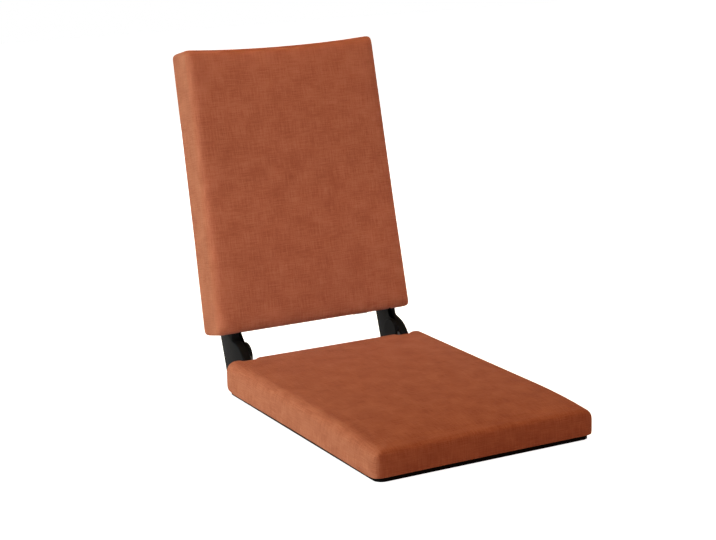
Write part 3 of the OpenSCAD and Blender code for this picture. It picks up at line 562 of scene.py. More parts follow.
def zip_tape_look():
    """Black woven zip tape"""
    paint = Paint("zip_tape", roughness=0.8, sheen_weight=0.1)
    x, y, _ = paint.split(paint.place())
    ribs = ((x / TAPE_RIB) * math.pi).sine() * 0.5 + 0.5
    picks = ((y / TAPE_PICK) * math.pi).sine() * 0.5 + 0.5
    weave = ribs * 0.6 + picks * 0.4
    # Painted shade: the tape is darker in the grooves between its ribs and picks, lighter on their
    # crests
    paint.colour(paint.blend(weave, (0.008, 0.008, 0.008), (0.03, 0.03, 0.031)))
    paint.relief(weave, depth=0.00015, strength=0.6)
    return paint.material


def materials():
    """Every finish by its name, made once"""
    made = getattr(materials, "made", None)
    if made is None:
        look = settings("hard")
        lean = settings("back").lean
        board = Vector(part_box("seat_board")[0])
        made = {
            "cloth": woven_cloth(),
            "moulding": moulded_plastic("moulded_shell", look.moulding),
            "base": moulded_plastic("base_black", look.base, grain=1600.0, roughness=0.7, ior=1.04),
            "coat": powder_coat(),
            "zinc": plated_metal("zinc_plate", look.zinc, roughness=0.34),
            "steel": plated_metal("bare_steel", look.steel, roughness=0.28),
            "nylon": cast_nylon(),
            "seat_ply": plywood("seat_plywood", board, lean=0.0),
            "back_ply": plywood("back_plywood", HINGE, lean=lean - math.pi / 2),
            "foam": open_foam(),
            "felt": grip_sheet_look(),
            "dots": grip_dot_look(),
            "tape": zip_tape_look(),
            "teeth": moulded_plastic(
                "zip_teeth", (0.016, 0.016, 0.017), grain=3000.0, roughness=0.4, ior=1.3
            ),
        }
        materials.made = made
    return made


def finish_node(name, finish):
    """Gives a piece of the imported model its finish"""
    node = NODES[name]
    if not node.material_slots:
        node.data.materials.append(materials()[finish])
    for slot in node.material_slots:
        slot.material = materials()[finish]


def new_object(name, mesh):
    piece = bpy.data.objects.new(name, mesh)
    bpy.context.scene.collection.objects.link(piece)
    return piece


def mesh_from(name, points, faces):
    mesh = bpy.data.meshes.new(name)
    mesh.from_pydata(points, [], faces)
    mesh.validate()
    return mesh


def flattened(piece):
    """Turns an object and its modifiers into one plain mesh object of the same name"""
    bpy.context.view_layer.update()
    evaluated = piece.evaluated_get(bpy.context.evaluated_depsgraph_get())
    mesh = bpy.data.meshes.new_from_object(evaluated)
    mesh.name = piece.name
    old = piece.data
    piece.modifiers.clear()
    piece.data = mesh
    if old.users == 0:
        bpy.data.meshes.remove(old)
    return piece


def mesh_of(form, name):
    """Keeps a finished form as a mesh and frees it"""
    mesh = bpy.data.meshes.new(name)
    form.to_mesh(mesh)
    form.free()
    return mesh


def paint_whole(mesh, finish):
    """Gives a whole mesh one finish"""
    mesh.materials.clear()
    mesh.materials.append(materials()[finish])
    for face in mesh.polygons:
        face.material_index = 0


def coordinates(mesh):
    flat = np.empty(len(mesh.vertices) * 3)
    mesh.vertices.foreach_get("co", flat)
    return flat.reshape(-1, 3)


def set_coordinates(mesh, points):
    mesh.vertices.foreach_set("co", np.ascontiguousarray(points).ravel())
    mesh.update()


def shade_smooth(mesh, sharp_angle=None):
    """Smooth shading, with sharp edges where the surface turns more than the angle"""
    form = bmesh.new()
    form.from_mesh(mesh)
    for face in form.faces:
        face.smooth = True
    if sharp_angle is not None:
        for edge in form.edges:
            edge.smooth = edge.is_manifold and edge.calc_face_angle(0.0) < sharp_angle
    form.to_mesh(mesh)
    form.free()


def rounded_outline(half, radius, corner_steps=8, side_steps=26):
    """Points round a rounded rectangle, anticlockwise from its right side"""
    points = []
    centres = [(1, 1), (-1, 1), (-1, -1), (1, -1)]
    corners = []
    for turn, (sx, sy) in enumerate(centres):
        centre = np.array([sx * (half[0] - radius), sy * (half[1] - radius)])
        angles = np.radians(90 * turn + np.linspace(0, 90, corner_steps + 1))
        corners.append(centre + radius * np.stack([np.cos(angles), np.sin(angles)], 1))
    for turn in range(4):
        start, end = corners[turn][-1], corners[(turn + 1) % 4][0]
        shares = np.linspace(0, 1, side_steps + 1)[1:-1, None]
        points += [corners[turn], start * (1 - shares) + end * shares]
    return np.concatenate(points)


def padded_form(
    name, half, thickness, corner, edge, hem, draws, crown, under, end_share=1.0, taper=0.0
):
    """A closed crowned pad on z = 0, whose sides draw in between its corners"""
    flat_rings, edge_rings = 14, 7
    # Each ring's inset, its share of the full width, its height, and its shares of top and bottom
    rows = [(hem, k / flat_rings, 0.0, 0.0, 1.0) for k in range(1, flat_rings + 1)]
    for k in range(1, edge_rings + 1):
        a = math.pi / 2 * k / edge_rings
        rows.append((hem * (1 - math.sin(a)), 1, hem * (1 - math.cos(a)), 0, math.cos(a)))
    for k in range(edge_rings + 1):
        a = math.pi / 2 * k / edge_rings
        height = thickness - edge * (1 - math.sin(a))
        rows.append((edge * (1 - math.cos(a)), 1, height, math.sin(a), 0))
    rows += [(edge, 1 - k / flat_rings, thickness, 1, 0) for k in range(1, flat_rings)]
    points = [np.array([[0, 0, -under]])]
    side_draw, far_draw, near_draw = draws
    for inset, shrink, height, top, bottom in rows:
        inner = (half[0] - inset, half[1] - inset * end_share)
        ring = rounded_outline(inner, max(corner - inset, 0.0005)) * shrink
        u, v = ring[:, 0] / half[0], ring[:, 1] / half[1]
        end_draw = np.where(v > 0, far_draw, near_draw)
        x = ring[:, 0] - u * side_draw * (1 - v**2)
        y = ring[:, 1] - v * end_draw * (1 - u**2)
        dome = (1 - (x / half[0]) ** 2) * (1 - (y / half[1]) ** 2)
        rise = (top * crown - bottom * under) * dome
        points.append(np.stack([x * (1 - taper * y / half[1]), y, height + rise], 1))
    points.append(np.array([[0, 0, thickness + crown]]))
    count = len(points[1])
    points = np.concatenate(points)
    last = len(points) - 1
    faces = [(0, 1 + (i + 1) % count, 1 + i) for i in range(count)]
    for k in range(len(rows) - 1):
        for i in range(count):
            a, b = 1 + k * count + i, 1 + k * count + (i + 1) % count
            faces.append((a, b, b + count, a + count))
    faces += [
        (last, last - count + i, last - count + (i + 1) % count) for i in range(count)
    ]
    return new_object(name, mesh_from(name, points.tolist(), faces))


def rounded_block(name, half, height, round_by):
    """A closed block on z = 0 with rounded edges"""
    form = bmesh.new()
    bmesh.ops.create_cube(form, size=1.0)
    size = Matrix.Diagonal((2 * half[0], 2 * half[1], height, 1.0))
    lift = Matrix.Translation((0, 0, height / 2))
    bmesh.ops.transform(form, matrix=lift @ size, verts=form.verts)
    bmesh.ops.bevel(form, geom=form.edges, offset=round_by, segments=3, affect="EDGES", profile=0.5)
    mesh = mesh_of(form, name)
    shade_smooth(mesh, BLOCK_SHARP)
    return new_object(name, mesh)


def bar_along_x(name, from_x, to_x, centre, radius, sides=64):
    """A closed round bar along X, for cutting"""
    form = bmesh.new()
    bmesh.ops.create_cone(
        form, cap_ends=True, segments=sides, radius1=radius, radius2=radius, depth=to_x - from_x
    )
    turn = Matrix.Rotation(math.pi / 2, 4, "Y")
    move = Matrix.Translation(((from_x + to_x) / 2, centre[0], centre[1]))
    bmesh.ops.transform(form, matrix=move @ turn, verts=form.verts)
    return new_object(name, mesh_of(form, name))


def cut_away(piece, cutters):
    """Cuts forms out of a piece and removes them"""
    for cutter in cutters:
        cut = piece.modifiers.new("cut", "BOOLEAN")
        cut.operation = "DIFFERENCE"
        cut.solver = "EXACT"
        cut.object = cutter
    flattened(piece)
    for cutter in cutters:
        mesh = cutter.data
        bpy.data.objects.remove(cutter)
        bpy.data.meshes.remove(mesh)


def even_cells(piece, size):
    """Remeshes a form into even cells that a simulated cloth can follow"""
    remesh = piece.modifiers.new("cells", "REMESH")
    remesh.mode = "VOXEL"
    remesh.voxel_size = size
    flattened(piece)


def fill_out(piece, held):
    """Blows a cover up from inside as cloth, as far as its foam lets it move"""
    values = settings("stuffing")
    start = coordinates(piece.data)
    group = piece.vertex_groups.new(name="held")
    for index in np.flatnonzero(held > 0):
        group.add([int(index)], float(held[index]), "REPLACE")
    cloth = piece.modifiers.new("stuffing", "CLOTH")
    cloth.settings.vertex_group_mass = "held"
    cloth.settings.use_pressure = True
    cloth.settings.uniform_pressure_force = values.pressure
    cloth.settings.effector_weights.gravity = 0.0
    cloth.settings.quality = 5
    cloth.collision_settings.use_collision = False
    scene = bpy.context.scene
    cloth.point_cache.frame_start = 1
    cloth.point_cache.frame_end = values.steps
    for step in range(1, values.steps + 1):
        scene.frame_set(step)
    flattened(piece)
    piece.vertex_groups.clear()
    moved = coordinates(piece.data) - start
    reach = np.linalg.norm(moved, axis=1, keepdims=True)
    limit = values.limit
    eased = limit * np.tanh(reach / limit)
    set_coordinates(piece.data, start + moved * eased / np.maximum(reach, 1e-9))
    scene.frame_set(1)


def stretch_to(piece, low, high):
    """Scales a mesh about its middle along each axis, so that it fills a box"""
    points = coordinates(piece.data)
    least, most = points.min(0), points.max(0)
    share = (points - least) / (most - least)
    set_coordinates(piece.data, np.array(low) + share * (np.array(high) - np.array(low)))


def surface_of(mesh, matrix):
    """Merges a mesh's copy and gives it with a tree for finding the nearest place on it"""
    form = bmesh.new()
    form.from_mesh(mesh)
    bmesh.ops.transform(form, matrix=matrix, verts=form.verts)
    bmesh.ops.remove_doubles(form, verts=form.verts, dist=MERGE)
    return form, BVHTree.FromBMesh(form)


def keep_near(piece, mesh, gap, free):
    """Eases a filled cover back, so that it stays within a gap of its form on either side"""
    form, tree = surface_of(mesh, Matrix())
    form.free()
    for vertex in piece.data.vertices:
        place, _, _, away = tree.find_nearest(vertex.co, NEAR)
        if place is not None and away > 1e-6 and not free[vertex.index]:
            eased = gap * math.tanh(away / gap)
            vertex.co = place + (vertex.co - place) * eased / away
    piece.data.update()


def foam_inside(cushion, names, body):
    """Gives the foam in a cushion a finished copy that stays inside its cover"""
    cover, tree = surface_of(cushion.data, Matrix())
    cover.free()
    for name in names:
        form, _ = surface_of(NODES[name].data, NODES[name].matrix_world)
        for vertex in form.verts:
            place, normal, _, _ = tree.find_nearest(vertex.co, NEAR)
            if place is not None and (vertex.co - place).dot(normal) > -FOAM_GAP:
                vertex.co = place - normal * FOAM_GAP
        mesh = mesh_of(form, name + "_fitted")
        paint_whole(mesh, "foam")
        foam = new_object(name + "_fitted", mesh)
        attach(foam, body)
        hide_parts(name)


def refine(piece):
    """One level of subdivision over the simulated cells"""
    level = piece.modifiers.new("refine", "SUBSURF")
    level.levels = level.render_levels = 1
    flattened(piece)


def lay_cloth_uv(mesh):
    """Lays the weave on each panel of a cover, flat on the side that the panel faces"""
    layer = mesh.uv_layers.new(name=CLOTH_UV)
    points = coordinates(mesh)
    normals = np.empty(len(mesh.polygons) * 3)
    mesh.polygons.foreach_get("normal", normals)
    facing = np.abs(normals.reshape(-1, 3)).argmax(1)
    totals = np.empty(len(mesh.polygons), int)
    mesh.polygons.foreach_get("loop_total", totals)
    corners = np.empty(len(mesh.loops), int)
    mesh.loops.foreach_get("vertex_index", corners)
    facing = np.repeat(facing, totals)
    at = points[corners]
    across = np.where(facing == 0, at[:, 1], at[:, 0])
    along = np.where(facing == 2, at[:, 1], at[:, 2])
    layer.data.foreach_set("uv", np.stack([across, along], 1).ravel())


def move_mesh(mesh, matrix):
    mesh.transform(matrix)
    mesh.update()


def back_matrix():
    """From the back's own upright frame, about the hinge axis, to where the open back stands"""
    return Matrix.Translation(HINGE) @ Matrix.Rotation(-settings("back").lean, 4, "X")


def join_tree(name, inputs):
    """A geometry tree with named inputs and one geometry output"""
    tree = bpy.data.node_groups.new(name, "GeometryNodeTree")
    tree.interface.new_socket("Geometry", in_out="OUTPUT", socket_type="NodeSocketGeometry")
    tree.interface.new_socket("Geometry", in_out="INPUT", socket_type="NodeSocketGeometry")
    for label, kind in inputs:
        tree.interface.new_socket(label, in_out="INPUT", socket_type=kind)
    return tree, tree.nodes.new("NodeGroupInput"), tree.nodes.new("NodeGroupOutput")


def tree_node(tree, kind, fixed=None, values=None):
    node = tree.nodes.new(kind)
    for key, value in (fixed or {}).items():
        setattr(node, key, value)
    for key, value in (values or {}).items():
        if isinstance(value, bpy.types.NodeSocket):
            tree.links.new(value, node.inputs[key])
        else:
            node.inputs[key].default_value = value
    return node


def end_tree(tree, geometry, given, output):
    """Every tree ends in real meshes with their material set"""
    real = tree_node(tree, "GeometryNodeRealizeInstances", values={"Geometry": geometry})
    painted = tree_node(
        tree,
        "GeometryNodeSetMaterial",
        values={"Geometry": real.outputs[0], "Material": given.outputs["Material"]},
    )
    tree.links.new(painted.outputs[0], output.inputs[0])


def grow(name, tree, values):
    """Runs a geometry tree with its inputs set and keeps the plain mesh"""
    piece = new_object(name, bpy.data.meshes.new(name))
    modifier = piece.modifiers.new("grow", "NODES")
    modifier.node_group = tree
    for item in tree.interface.items_tree:
        if item.in_out == "INPUT" and item.name in values:
            modifier[item.identifier] = values[item.name]
    return flattened(piece)


def zip_teeth_tree():
    """A row of coil teeth along X"""
    tree, given, output = join_tree(
        "zip_teeth",
        [
            ("Length", "NodeSocketFloat"),
            ("Pitch", "NodeSocketFloat"),
            ("Tooth Width", "NodeSocketFloat"),
            ("Tooth Radius", "NodeSocketFloat"),
            ("Material", "NodeSocketMaterial"),
        ],
    )
    count = tree_node(
        tree,
        "ShaderNodeMath",
        {"operation": "DIVIDE"},
        {0: given.outputs["Length"], 1: given.outputs["Pitch"]},
    )
    step = tree_node(tree, "ShaderNodeCombineXYZ", values={"X": given.outputs["Pitch"]})
    half = tree_node(
        tree, "ShaderNodeMath", {"operation": "MULTIPLY"}, {0: given.outputs["Length"], 1: -0.5}
    )
    start = tree_node(tree, "ShaderNodeCombineXYZ", values={"X": half.outputs[0]})
    line = tree_node(
        tree,
        "GeometryNodeMeshLine",
        {"mode": "OFFSET"},
        {"Count": count.outputs[0], "Start Location": start.outputs[0], "Offset": step.outputs[0]},
    )
    tooth = tree_node(
        tree,
        "GeometryNodeMeshCylinder",
        {"fill_type": "TRIANGLE_FAN"},
        {
            "Vertices": 8,
            "Side Segments": 3,
            "Radius": given.outputs["Tooth Radius"],
            "Depth": given.outputs["Tooth Width"],
        },
    )
    turned = tree_node(
        tree,
        "GeometryNodeTransform",
        values={"Geometry": tooth.outputs[0], "Rotation": (math.pi / 2, 0.0, TOOTH_SLANT)},
    )
    rounded = tree_node(
        tree,
        "GeometryNodeSetShadeSmooth",
        values={"Geometry": turned.outputs[0], "Shade Smooth": True},
    )
    row = tree_node(
        tree,
        "GeometryNodeInstanceOnPoints",
        values={"Points": line.outputs[0], "Instance": rounded.outputs[0]},
    )
    end_tree(tree, row.outputs[0], given, output)
    return tree


def grip_dots_tree():
    """Rows of low round dots over a rectangle"""
    tree, given, output = join_tree(
        "grip_dots",
        [
            ("Width", "NodeSocketFloat"),
            ("Depth", "NodeSocketFloat"),
            ("Columns", "NodeSocketInt"),
            ("Rows", "NodeSocketInt"),
            ("Dot Radius", "NodeSocketFloat"),
            ("Dot Height", "NodeSocketFloat"),
            ("Material", "NodeSocketMaterial"),
        ],
    )
    grid = tree_node(
        tree,
        "GeometryNodeMeshGrid",
        values={
            "Size X": given.outputs["Width"],
            "Size Y": given.outputs["Depth"],
            "Vertices X": given.outputs["Columns"],
            "Vertices Y": given.outputs["Rows"],
        },
    )
    dot = tree_node(
        tree,
        "GeometryNodeMeshCone",
        {"fill_type": "NGON"},
        {
            "Vertices": 10,
            "Radius Top": given.outputs["Dot Radius"],
            "Radius Bottom": tree_node(
                tree,
                "ShaderNodeMath",
                {"operation": "MULTIPLY"},
                {0: given.outputs["Dot Radius"], 1: DOT_FOOT_SHARE},
            ).outputs[0],
            "Depth": given.outputs["Dot Height"],
        },
    )
    dots = tree_node(
        tree,
        "GeometryNodeInstanceOnPoints",
        values={"Points": grid.outputs[0], "Instance": dot.outputs[0]},
    )
    end_tree(tree, dots.outputs[0], given, output)
    return tree


def along_side(y):
    """0 at the front and rear ends of the seat, 1 along its sides"""
    return np.clip((SEAT_HIGH.y - SKIRT_ENDS - np.abs(y)) / SKIRT_ENDS_REACH, 0, 1)


def beside_base(points):
    """1 where the seat cushion hangs down beside the base, 0 over it and at the ends"""
    past = np.clip((np.abs(points[:, 0]) - SEAT_HIGH.x + SKIRT_IN) / SKIRT_WIDTH, 0, 1)
    return past**2 * (3 - 2 * past) * along_side(points[:, 1])


def pocket_sides():
    """Where a hinge's room in the seat starts and ends along X"""
    return CAP_INNER_X - HINGE_ROOM, ARM_OUTER_X + HINGE_ROOM


def hold_near_hinges(points, pocket):
    """How firmly each point is held: fully by the pocket's rim, not at all 11 mm away"""
    reach = np.hypot(points[:, 1] - HINGE.y, points[:, 2] - HINGE.z) - pocket
    aside = np.abs(points[:, 0])
    low, high = pocket_sides()
    past = np.maximum(np.maximum(low - aside, aside - high), reach)
    return np.clip(HINGE_HOLD - past / HINGE_HOLD_REACH, 0, 1)


class FLOORCHAIR_OT_seat_cushion(bpy.types.Operator):
    """Make the seat cushion, filled out as cloth, with a pocket round each hinge"""

    bl_idname = "floorchair.seat_cushion"
    bl_label = "Seat cushion"

    def execute(self, context):
        sizes, stuffing = settings("seat"), settings("stuffing")
        target = self.form(sizes, room=0.0)
        points = coordinates(target.data)
        box = points.min(0), points.max(0)
        cushion = self.form(sizes, stuffing.room)
        low, high = pocket_sides()
        centre = (HINGE.y, HINGE.z)
        cutters = [
            bar_along_x("pocket_cut", -high, -low, centre, sizes.pocket),
            bar_along_x("pocket_cut", low, high, centre, sizes.pocket),
        ]
        cut_away(cushion, cutters)
        even_cells(cushion, stuffing.voxel)
        points = coordinates(cushion.data)
        hem = np.clip((SEAT_LOW.z + HEM_HELD - points[:, 2]) / HEM_HELD, 0, 1)
        fill_out(cushion, np.maximum(hem, hold_near_hinges(points, sizes.pocket)))
        stretch_to(cushion, *box)
        near = self.in_pocket(cushion, sizes.pocket, margin=HINGE_FREE)[0]
        keep_near(cushion, target.data, stuffing.play, near)
        bpy.data.objects.remove(target)
        cushion.name = "seat_cushion"
        refine(cushion)
        inside, points, away, reach = self.in_pocket(cushion, sizes.pocket, margin=0.0)
        turned = away[inside] / reach[inside, None] * sizes.pocket
        points[inside, 1:] = np.array((HINGE.y, HINGE.z)) + turned
        points[:, 2] = np.maximum(points[:, 2], SEAT_LOW.z - sizes.skirt * beside_base(points))
        set_coordinates(cushion.data, points)
        shade_smooth(cushion.data)
        lay_cloth_uv(cushion.data)
        cushion.data.materials.append(materials()["cloth"])
        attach(cushion, "seat")
        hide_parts("seat_cover")
        foam_inside(cushion, ["seat_foam"], "seat")
        return {"FINISHED"}

    def thickness(self, sizes):
        return HINGE.z + sizes.plump - SEAT_LOW.z

    def in_pocket(self, cushion, radius, margin):
        """Which points lie in the hinges' room, with all points and their place about the axis"""
        points = coordinates(cushion.data)
        low, high = pocket_sides()
        aside = np.abs(points[:, 0])
        away = points[:, 1:] - np.array((HINGE.y, HINGE.z))
        reach = np.linalg.norm(away, axis=1)
        across = (aside > low - margin) & (aside < high + margin)
        return across & (reach < radius + margin), points, away, reach

    def form(self, sizes, room):
        cushion = padded_form(
            "seat_cushion",
            half=(sizes.width / 2 - room, sizes.depth / 2 - room),
            thickness=self.thickness(sizes) - room,
            corner=sizes.corner - room,
            edge=sizes.edge - room,
            hem=sizes.hem,
            draws=(sizes.draw, sizes.draw, sizes.draw),
            crown=sizes.crown - room,
            under=0.0,
            end_share=sizes.end_reach / sizes.edge,
        )
        points = coordinates(cushion.data)
        share = np.clip(1 - (points[:, 1] + sizes.depth / 2) / sizes.fall_reach, 0, 1) ** 2
        points[:, 2] *= 1 - share * sizes.fall / self.thickness(sizes)
        low = np.clip(1 - points[:, 2] / SKIRT_HEIGHT, 0, 1)
        points[:, 2] -= sizes.skirt * low * beside_base(points)
        set_coordinates(cushion.data, points)
        move_mesh(cushion.data, Matrix.Translation((0, 0, SEAT_LOW.z)))
        return cushion


class FLOORCHAIR_OT_back_cushion(bpy.types.Operator):
    """Make the back cushion, filled out as cloth, with its top edge sagging"""

    bl_idname = "floorchair.back_cushion"
    bl_label = "Back cushion"

    def execute(self, context):
        sizes, stuffing = settings("back"), settings("stuffing")
        target = self.form(sizes, room=0.0)
        points = coordinates(target.data)
        box = points.min(0), points.max(0)
        cushion = self.form(sizes, stuffing.room)
        even_cells(cushion, stuffing.voxel)
        points = coordinates(cushion.data)
        held = (sizes.bottom + UNDERSIDE_HELD - points[:, 2]) / UNDERSIDE_FADE
        fill_out(cushion, np.clip(held, 0, 1))
        stretch_to(cushion, *box)
        keep_near(cushion, target.data, stuffing.play, np.zeros(len(points), bool))
        bpy.data.objects.remove(target)
        cushion.name = "back_cushion"
        refine(cushion)
        points = coordinates(cushion.data)
        points[:, 2] = np.maximum(points[:, 2], sizes.bottom)
        set_coordinates(cushion.data, points)
        shade_smooth(cushion.data)
        lay_cloth_uv(cushion.data)
        move_mesh(cushion.data, back_matrix())
        cushion.data.materials.append(materials()["cloth"])
        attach(cushion, "back")
        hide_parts("back_cover")
        foam_inside(cushion, ["back_foam_front", "back_foam_rear"], "back")
        return {"FINISHED"}

    def form(self, sizes, room):
        cushion = padded_form(
            "back_cushion",
            half=(sizes.width / 2 - room, sizes.height / 2 - room),
            thickness=sizes.thickness - 2 * room,
            corner=sizes.corner - room,
            edge=sizes.edge - room,
            hem=sizes.edge - room,
            draws=(sizes.draw, sizes.sag, 0.0),
            crown=sizes.crown - room,
            under=max(sizes.rear_crown - room, 0.0),
            taper=sizes.taper / (2 * sizes.width),
        )
        rear, middle = sizes.thickness - sizes.forward - room, sizes.bottom + sizes.height / 2
        turn = Matrix.Rotation(math.pi / 2, 4, "X")
        move_mesh(cushion.data, Matrix.Translation((0, rear, middle)) @ turn)
        return cushion


def smooth_copy(node, name, finish, body):
    """A finished copy of a moulded node, smooth round its edges, that stands for it"""
    form, _ = surface_of(NODES[node].data, NODES[node].matrix_world)
    bmesh.ops.recalc_face_normals(form, faces=form.faces)
    mesh = mesh_of(form, name)
    paint_whole(mesh, finish)
    shade_smooth(mesh, MOULDING_SHARP)
    copy = new_object(name, mesh)
    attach(copy, body)
    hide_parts(node)


class FLOORCHAIR_OT_base(bpy.types.Operator):
    """Make the moulded base under the seat, smooth round its edges"""

    bl_idname = "floorchair.base"
    bl_label = "Base"

    def execute(self, context):
        smooth_copy("base_tray", "moulded_base", "base", "seat")
        return {"FINISHED"}


class FLOORCHAIR_OT_arm_shells(bpy.types.Operator):
    """Make the moulded shells of the hinge arms, smooth round their edges"""

    bl_idname = "floorchair.arm_shells"
    bl_label = "Arm shells"

    def execute(self, context):
        for layer in ("outer", "inner"):
            for hand in ("left", "right"):
                node, name = ("arm_%s_%s_%s" % (kind, layer, hand) for kind in ("cover", "shell"))
                smooth_copy(node, name, "moulding", "back")
        return {"FINISHED"}


class FLOORCHAIR_OT_zip(bpy.types.Operator):
    """Make the zip under the back: its tape, teeth, slider and puller"""

    bl_idname = "floorchair.zip"
    bl_label = "Zip"

    def execute(self, context):
        sizes = settings("zip")
        bottom = settings("back").bottom
        pieces = [
            self.tape(sizes, bottom),
            self.teeth(sizes, bottom),
            self.slider(sizes, bottom),
            self.puller(sizes, bottom),
        ]
        for piece in pieces:
            move_mesh(piece.data, back_matrix())
            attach(piece, "back")
            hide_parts("back_zip")
        return {"FINISHED"}

    def tape(self, sizes, bottom):
        half = (sizes.length / 2, sizes.tape / 2)
        tape = rounded_block("zip_tape", half, TAPE_HEIGHT, TAPE_ROUNDING)
        move_mesh(tape.data, Matrix.Translation((0, sizes.middle, bottom - TAPE_DROP)))
        tape.data.materials.append(materials()["tape"])
        return tape

    def teeth(self, sizes, bottom):
        values = {
            "Length": sizes.length - TEETH_END,
            "Pitch": sizes.pitch,
            "Tooth Width": sizes.tooth,
            "Tooth Radius": sizes.wire,
            "Material": materials()["teeth"],
        }
        teeth = grow("zip_teeth", zip_teeth_tree(), values)
        move_mesh(teeth.data, Matrix.Translation((0, sizes.middle, bottom - TEETH_DROP)))
        return teeth

    def slider(self, sizes, bottom):
        slider = rounded_block("zip_slider", SLIDER_HALF, SLIDER_HEIGHT, SLIDER_ROUNDING)
        place = (sizes.length / 2 - SLIDER_IN, sizes.middle, bottom - SLIDER_DROP)
        move_mesh(slider.data, Matrix.Translation(place))
        slider.data.materials.append(materials()["zinc"])
        return slider

    def puller(self, sizes, bottom):
        puller = rounded_block("zip_puller", PULLER_HALF, PULLER_HEIGHT, PULLER_ROUNDING)
        place = (sizes.length / 2 - PULLER_IN, sizes.middle, bottom - PULLER_DROP)
        move_mesh(puller.data, Matrix.Translation(place))
        puller.data.materials.append(materials()["zinc"])
        return puller


class FLOORCHAIR_OT_grip_sheet(bpy.types.Operator):
    """Make the anti-slip sheet under the base with its rows of dots"""

    bl_idname = "floorchair.grip_sheet"
    bl_label = "Grip sheet"

    def execute(self, context):
        sizes = settings("grip")
        width, depth = SHEET_HIGH.x - SHEET_LOW.x, SHEET_HIGH.y - SHEET_LOW.y
        half = (width / 2, depth / 2)
        outline = rounded_outline(half, sizes.corner, corner_steps=10, side_steps=1)
        form = bmesh.new()
        rim = [form.verts.new((x, y, sizes.height)) for x, y in outline]
        lower = form.faces.new(rim)
        grown = bmesh.ops.extrude_face_region(form, geom=[lower])["geom"]
        top = [part for part in grown if isinstance(part, bmesh.types.BMVert)]
        bmesh.ops.translate(form, vec=(0, 0, SHEET_HIGH.z - sizes.height), verts=top)
        bmesh.ops.recalc_face_normals(form, faces=form.faces)
        mesh = mesh_of(form, "grip_felt")
        mesh.materials.append(materials()["felt"])
        columns, rows = int(width / sizes.pitch), int(depth / sizes.pitch)
        values = {
            "Width": (columns - 1) * sizes.pitch,
            "Depth": (rows - 1) * sizes.pitch,
            "Columns": columns,
            "Rows": rows,
            "Dot Radius": sizes.radius,
            "Dot Height": sizes.height,
            "Material": materials()["dots"],
        }
        dots = grow("grip_dots", grip_dots_tree(), values)
        for piece in (new_object("grip_felt", mesh), dots):
            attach(piece, "seat")
            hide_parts("anti_slip_sheet")
        return {"FINISHED"}


class FLOORCHAIR_OT_hard_finishes(bpy.types.Operator):
    """Give each hinge cap and each metal, nylon and board piece its finish"""

    bl_idname = "floorchair.hard_finishes"
    bl_label = "Hard finishes"

    def execute(self, context):
        finishes = {
            "moulding": ["hinge_cap_left", "hinge_cap_right"],
            "coat": ["hinge_plate_left", "hinge_plate_right", "back_arm_left", "back_arm_right"],
            "zinc": [
                "base_screws",
                "seat_tee_nuts",
                "hinge_plate_bolts",
                "pivot_bolt_left",
                "pivot_bolt_right",
                "pivot_nuts",
                "spacer_rings",
                "cover_screws",
                "back_bolts",
                "back_tee_nuts",
            ],
            "steel": ["stop_pin_left", "stop_pin_right", "disc_springs"],
            "nylon": ["thrust_washers", "pivot_bushes"],
            "seat_ply": ["seat_board"],
            "back_ply": ["back_board"],
        }
        for finish, names in finishes.items():
            for name in names:
                finish_node(name, finish)
        return {"FINISHED"}


def area_light(name, place, target, size, watts, colour):
    data = bpy.data.lights.new(name, "AREA")
    data.shape = "RECTANGLE"
    data.size, data.size_y = size
    data.energy = watts
    data.color = colour
    lamp = bpy.data.objects.new(name, data)
    lamp.location = place
    aim = Vector(target) - Vector(place)
    lamp.rotation_euler = aim.to_track_quat("-Z", "Y").to_euler()
    bpy.context.scene.collection.objects.link(lamp)
    return lamp


def plain_rays(tree):
    """1 for rays that see the plain white backdrop: the camera's, glossy and transmitted ones"""
    light_path = tree.nodes.new("ShaderNodeLightPath")
    most = light_path.outputs["Is Camera Ray"]
    for name in ("Is Glossy Ray", "Is Transmission Ray"):
        either = tree.nodes.new("ShaderNodeMath")
        either.operation = "MAXIMUM"
        tree.links.new(most, either.inputs[0])
        tree.links.new(light_path.outputs[name], either.inputs[1])
        most = either.outputs[0]
    return most


# Each light's name, place, target, sides and colour, which were solved from patches of the cloth
LIGHTS = [
    ("side_light", (-3.0, 0.4, 0.35), (-0.2, 0.2, 0.25), (1.6, 0.7), (0.784, 0.989, 1.0)),
    ("top_light", (0.0, 0.05, 2.6), (0.0, 0.05, 0.0), (1.2, 1.2), (1.0, 0.557, 0.02)),
    ("top_rear_light", (0.0, 0.7, 2.6), (0.0, 0.1, 0.0), (1.2, 0.5), (1.0, 0.687, 0.267)),
    ("fill_light", (0.0, -0.8, 2.7), (0.0, 0.0, 0.0), (0.6, 0.6), (1.0, 0.50, 0.25)),
    ("front_light", (-0.4, -3.4, 0.8), (0.0, 0.0, 0.1), (2.0, 1.0), (1.0, 0.10, 0.02)),
    ("rear_light", (0.3, 3.2, 0.6), (0.0, 0.3, 0.25), (1.6, 1.0), (0.95, 0.96, 1.0)),
    ("back_light", (0.0, -2.5, 1.228), (0.0, 0.354, 0.325), (0.66, 0.68), (0.65, 0.778, 1.0)),
    ("back_low_light", (0.0, -2.5, 1.15), (0.0, 0.30, 0.17), (0.60, 0.34), (1.0, 0.8, 0.75)),
]


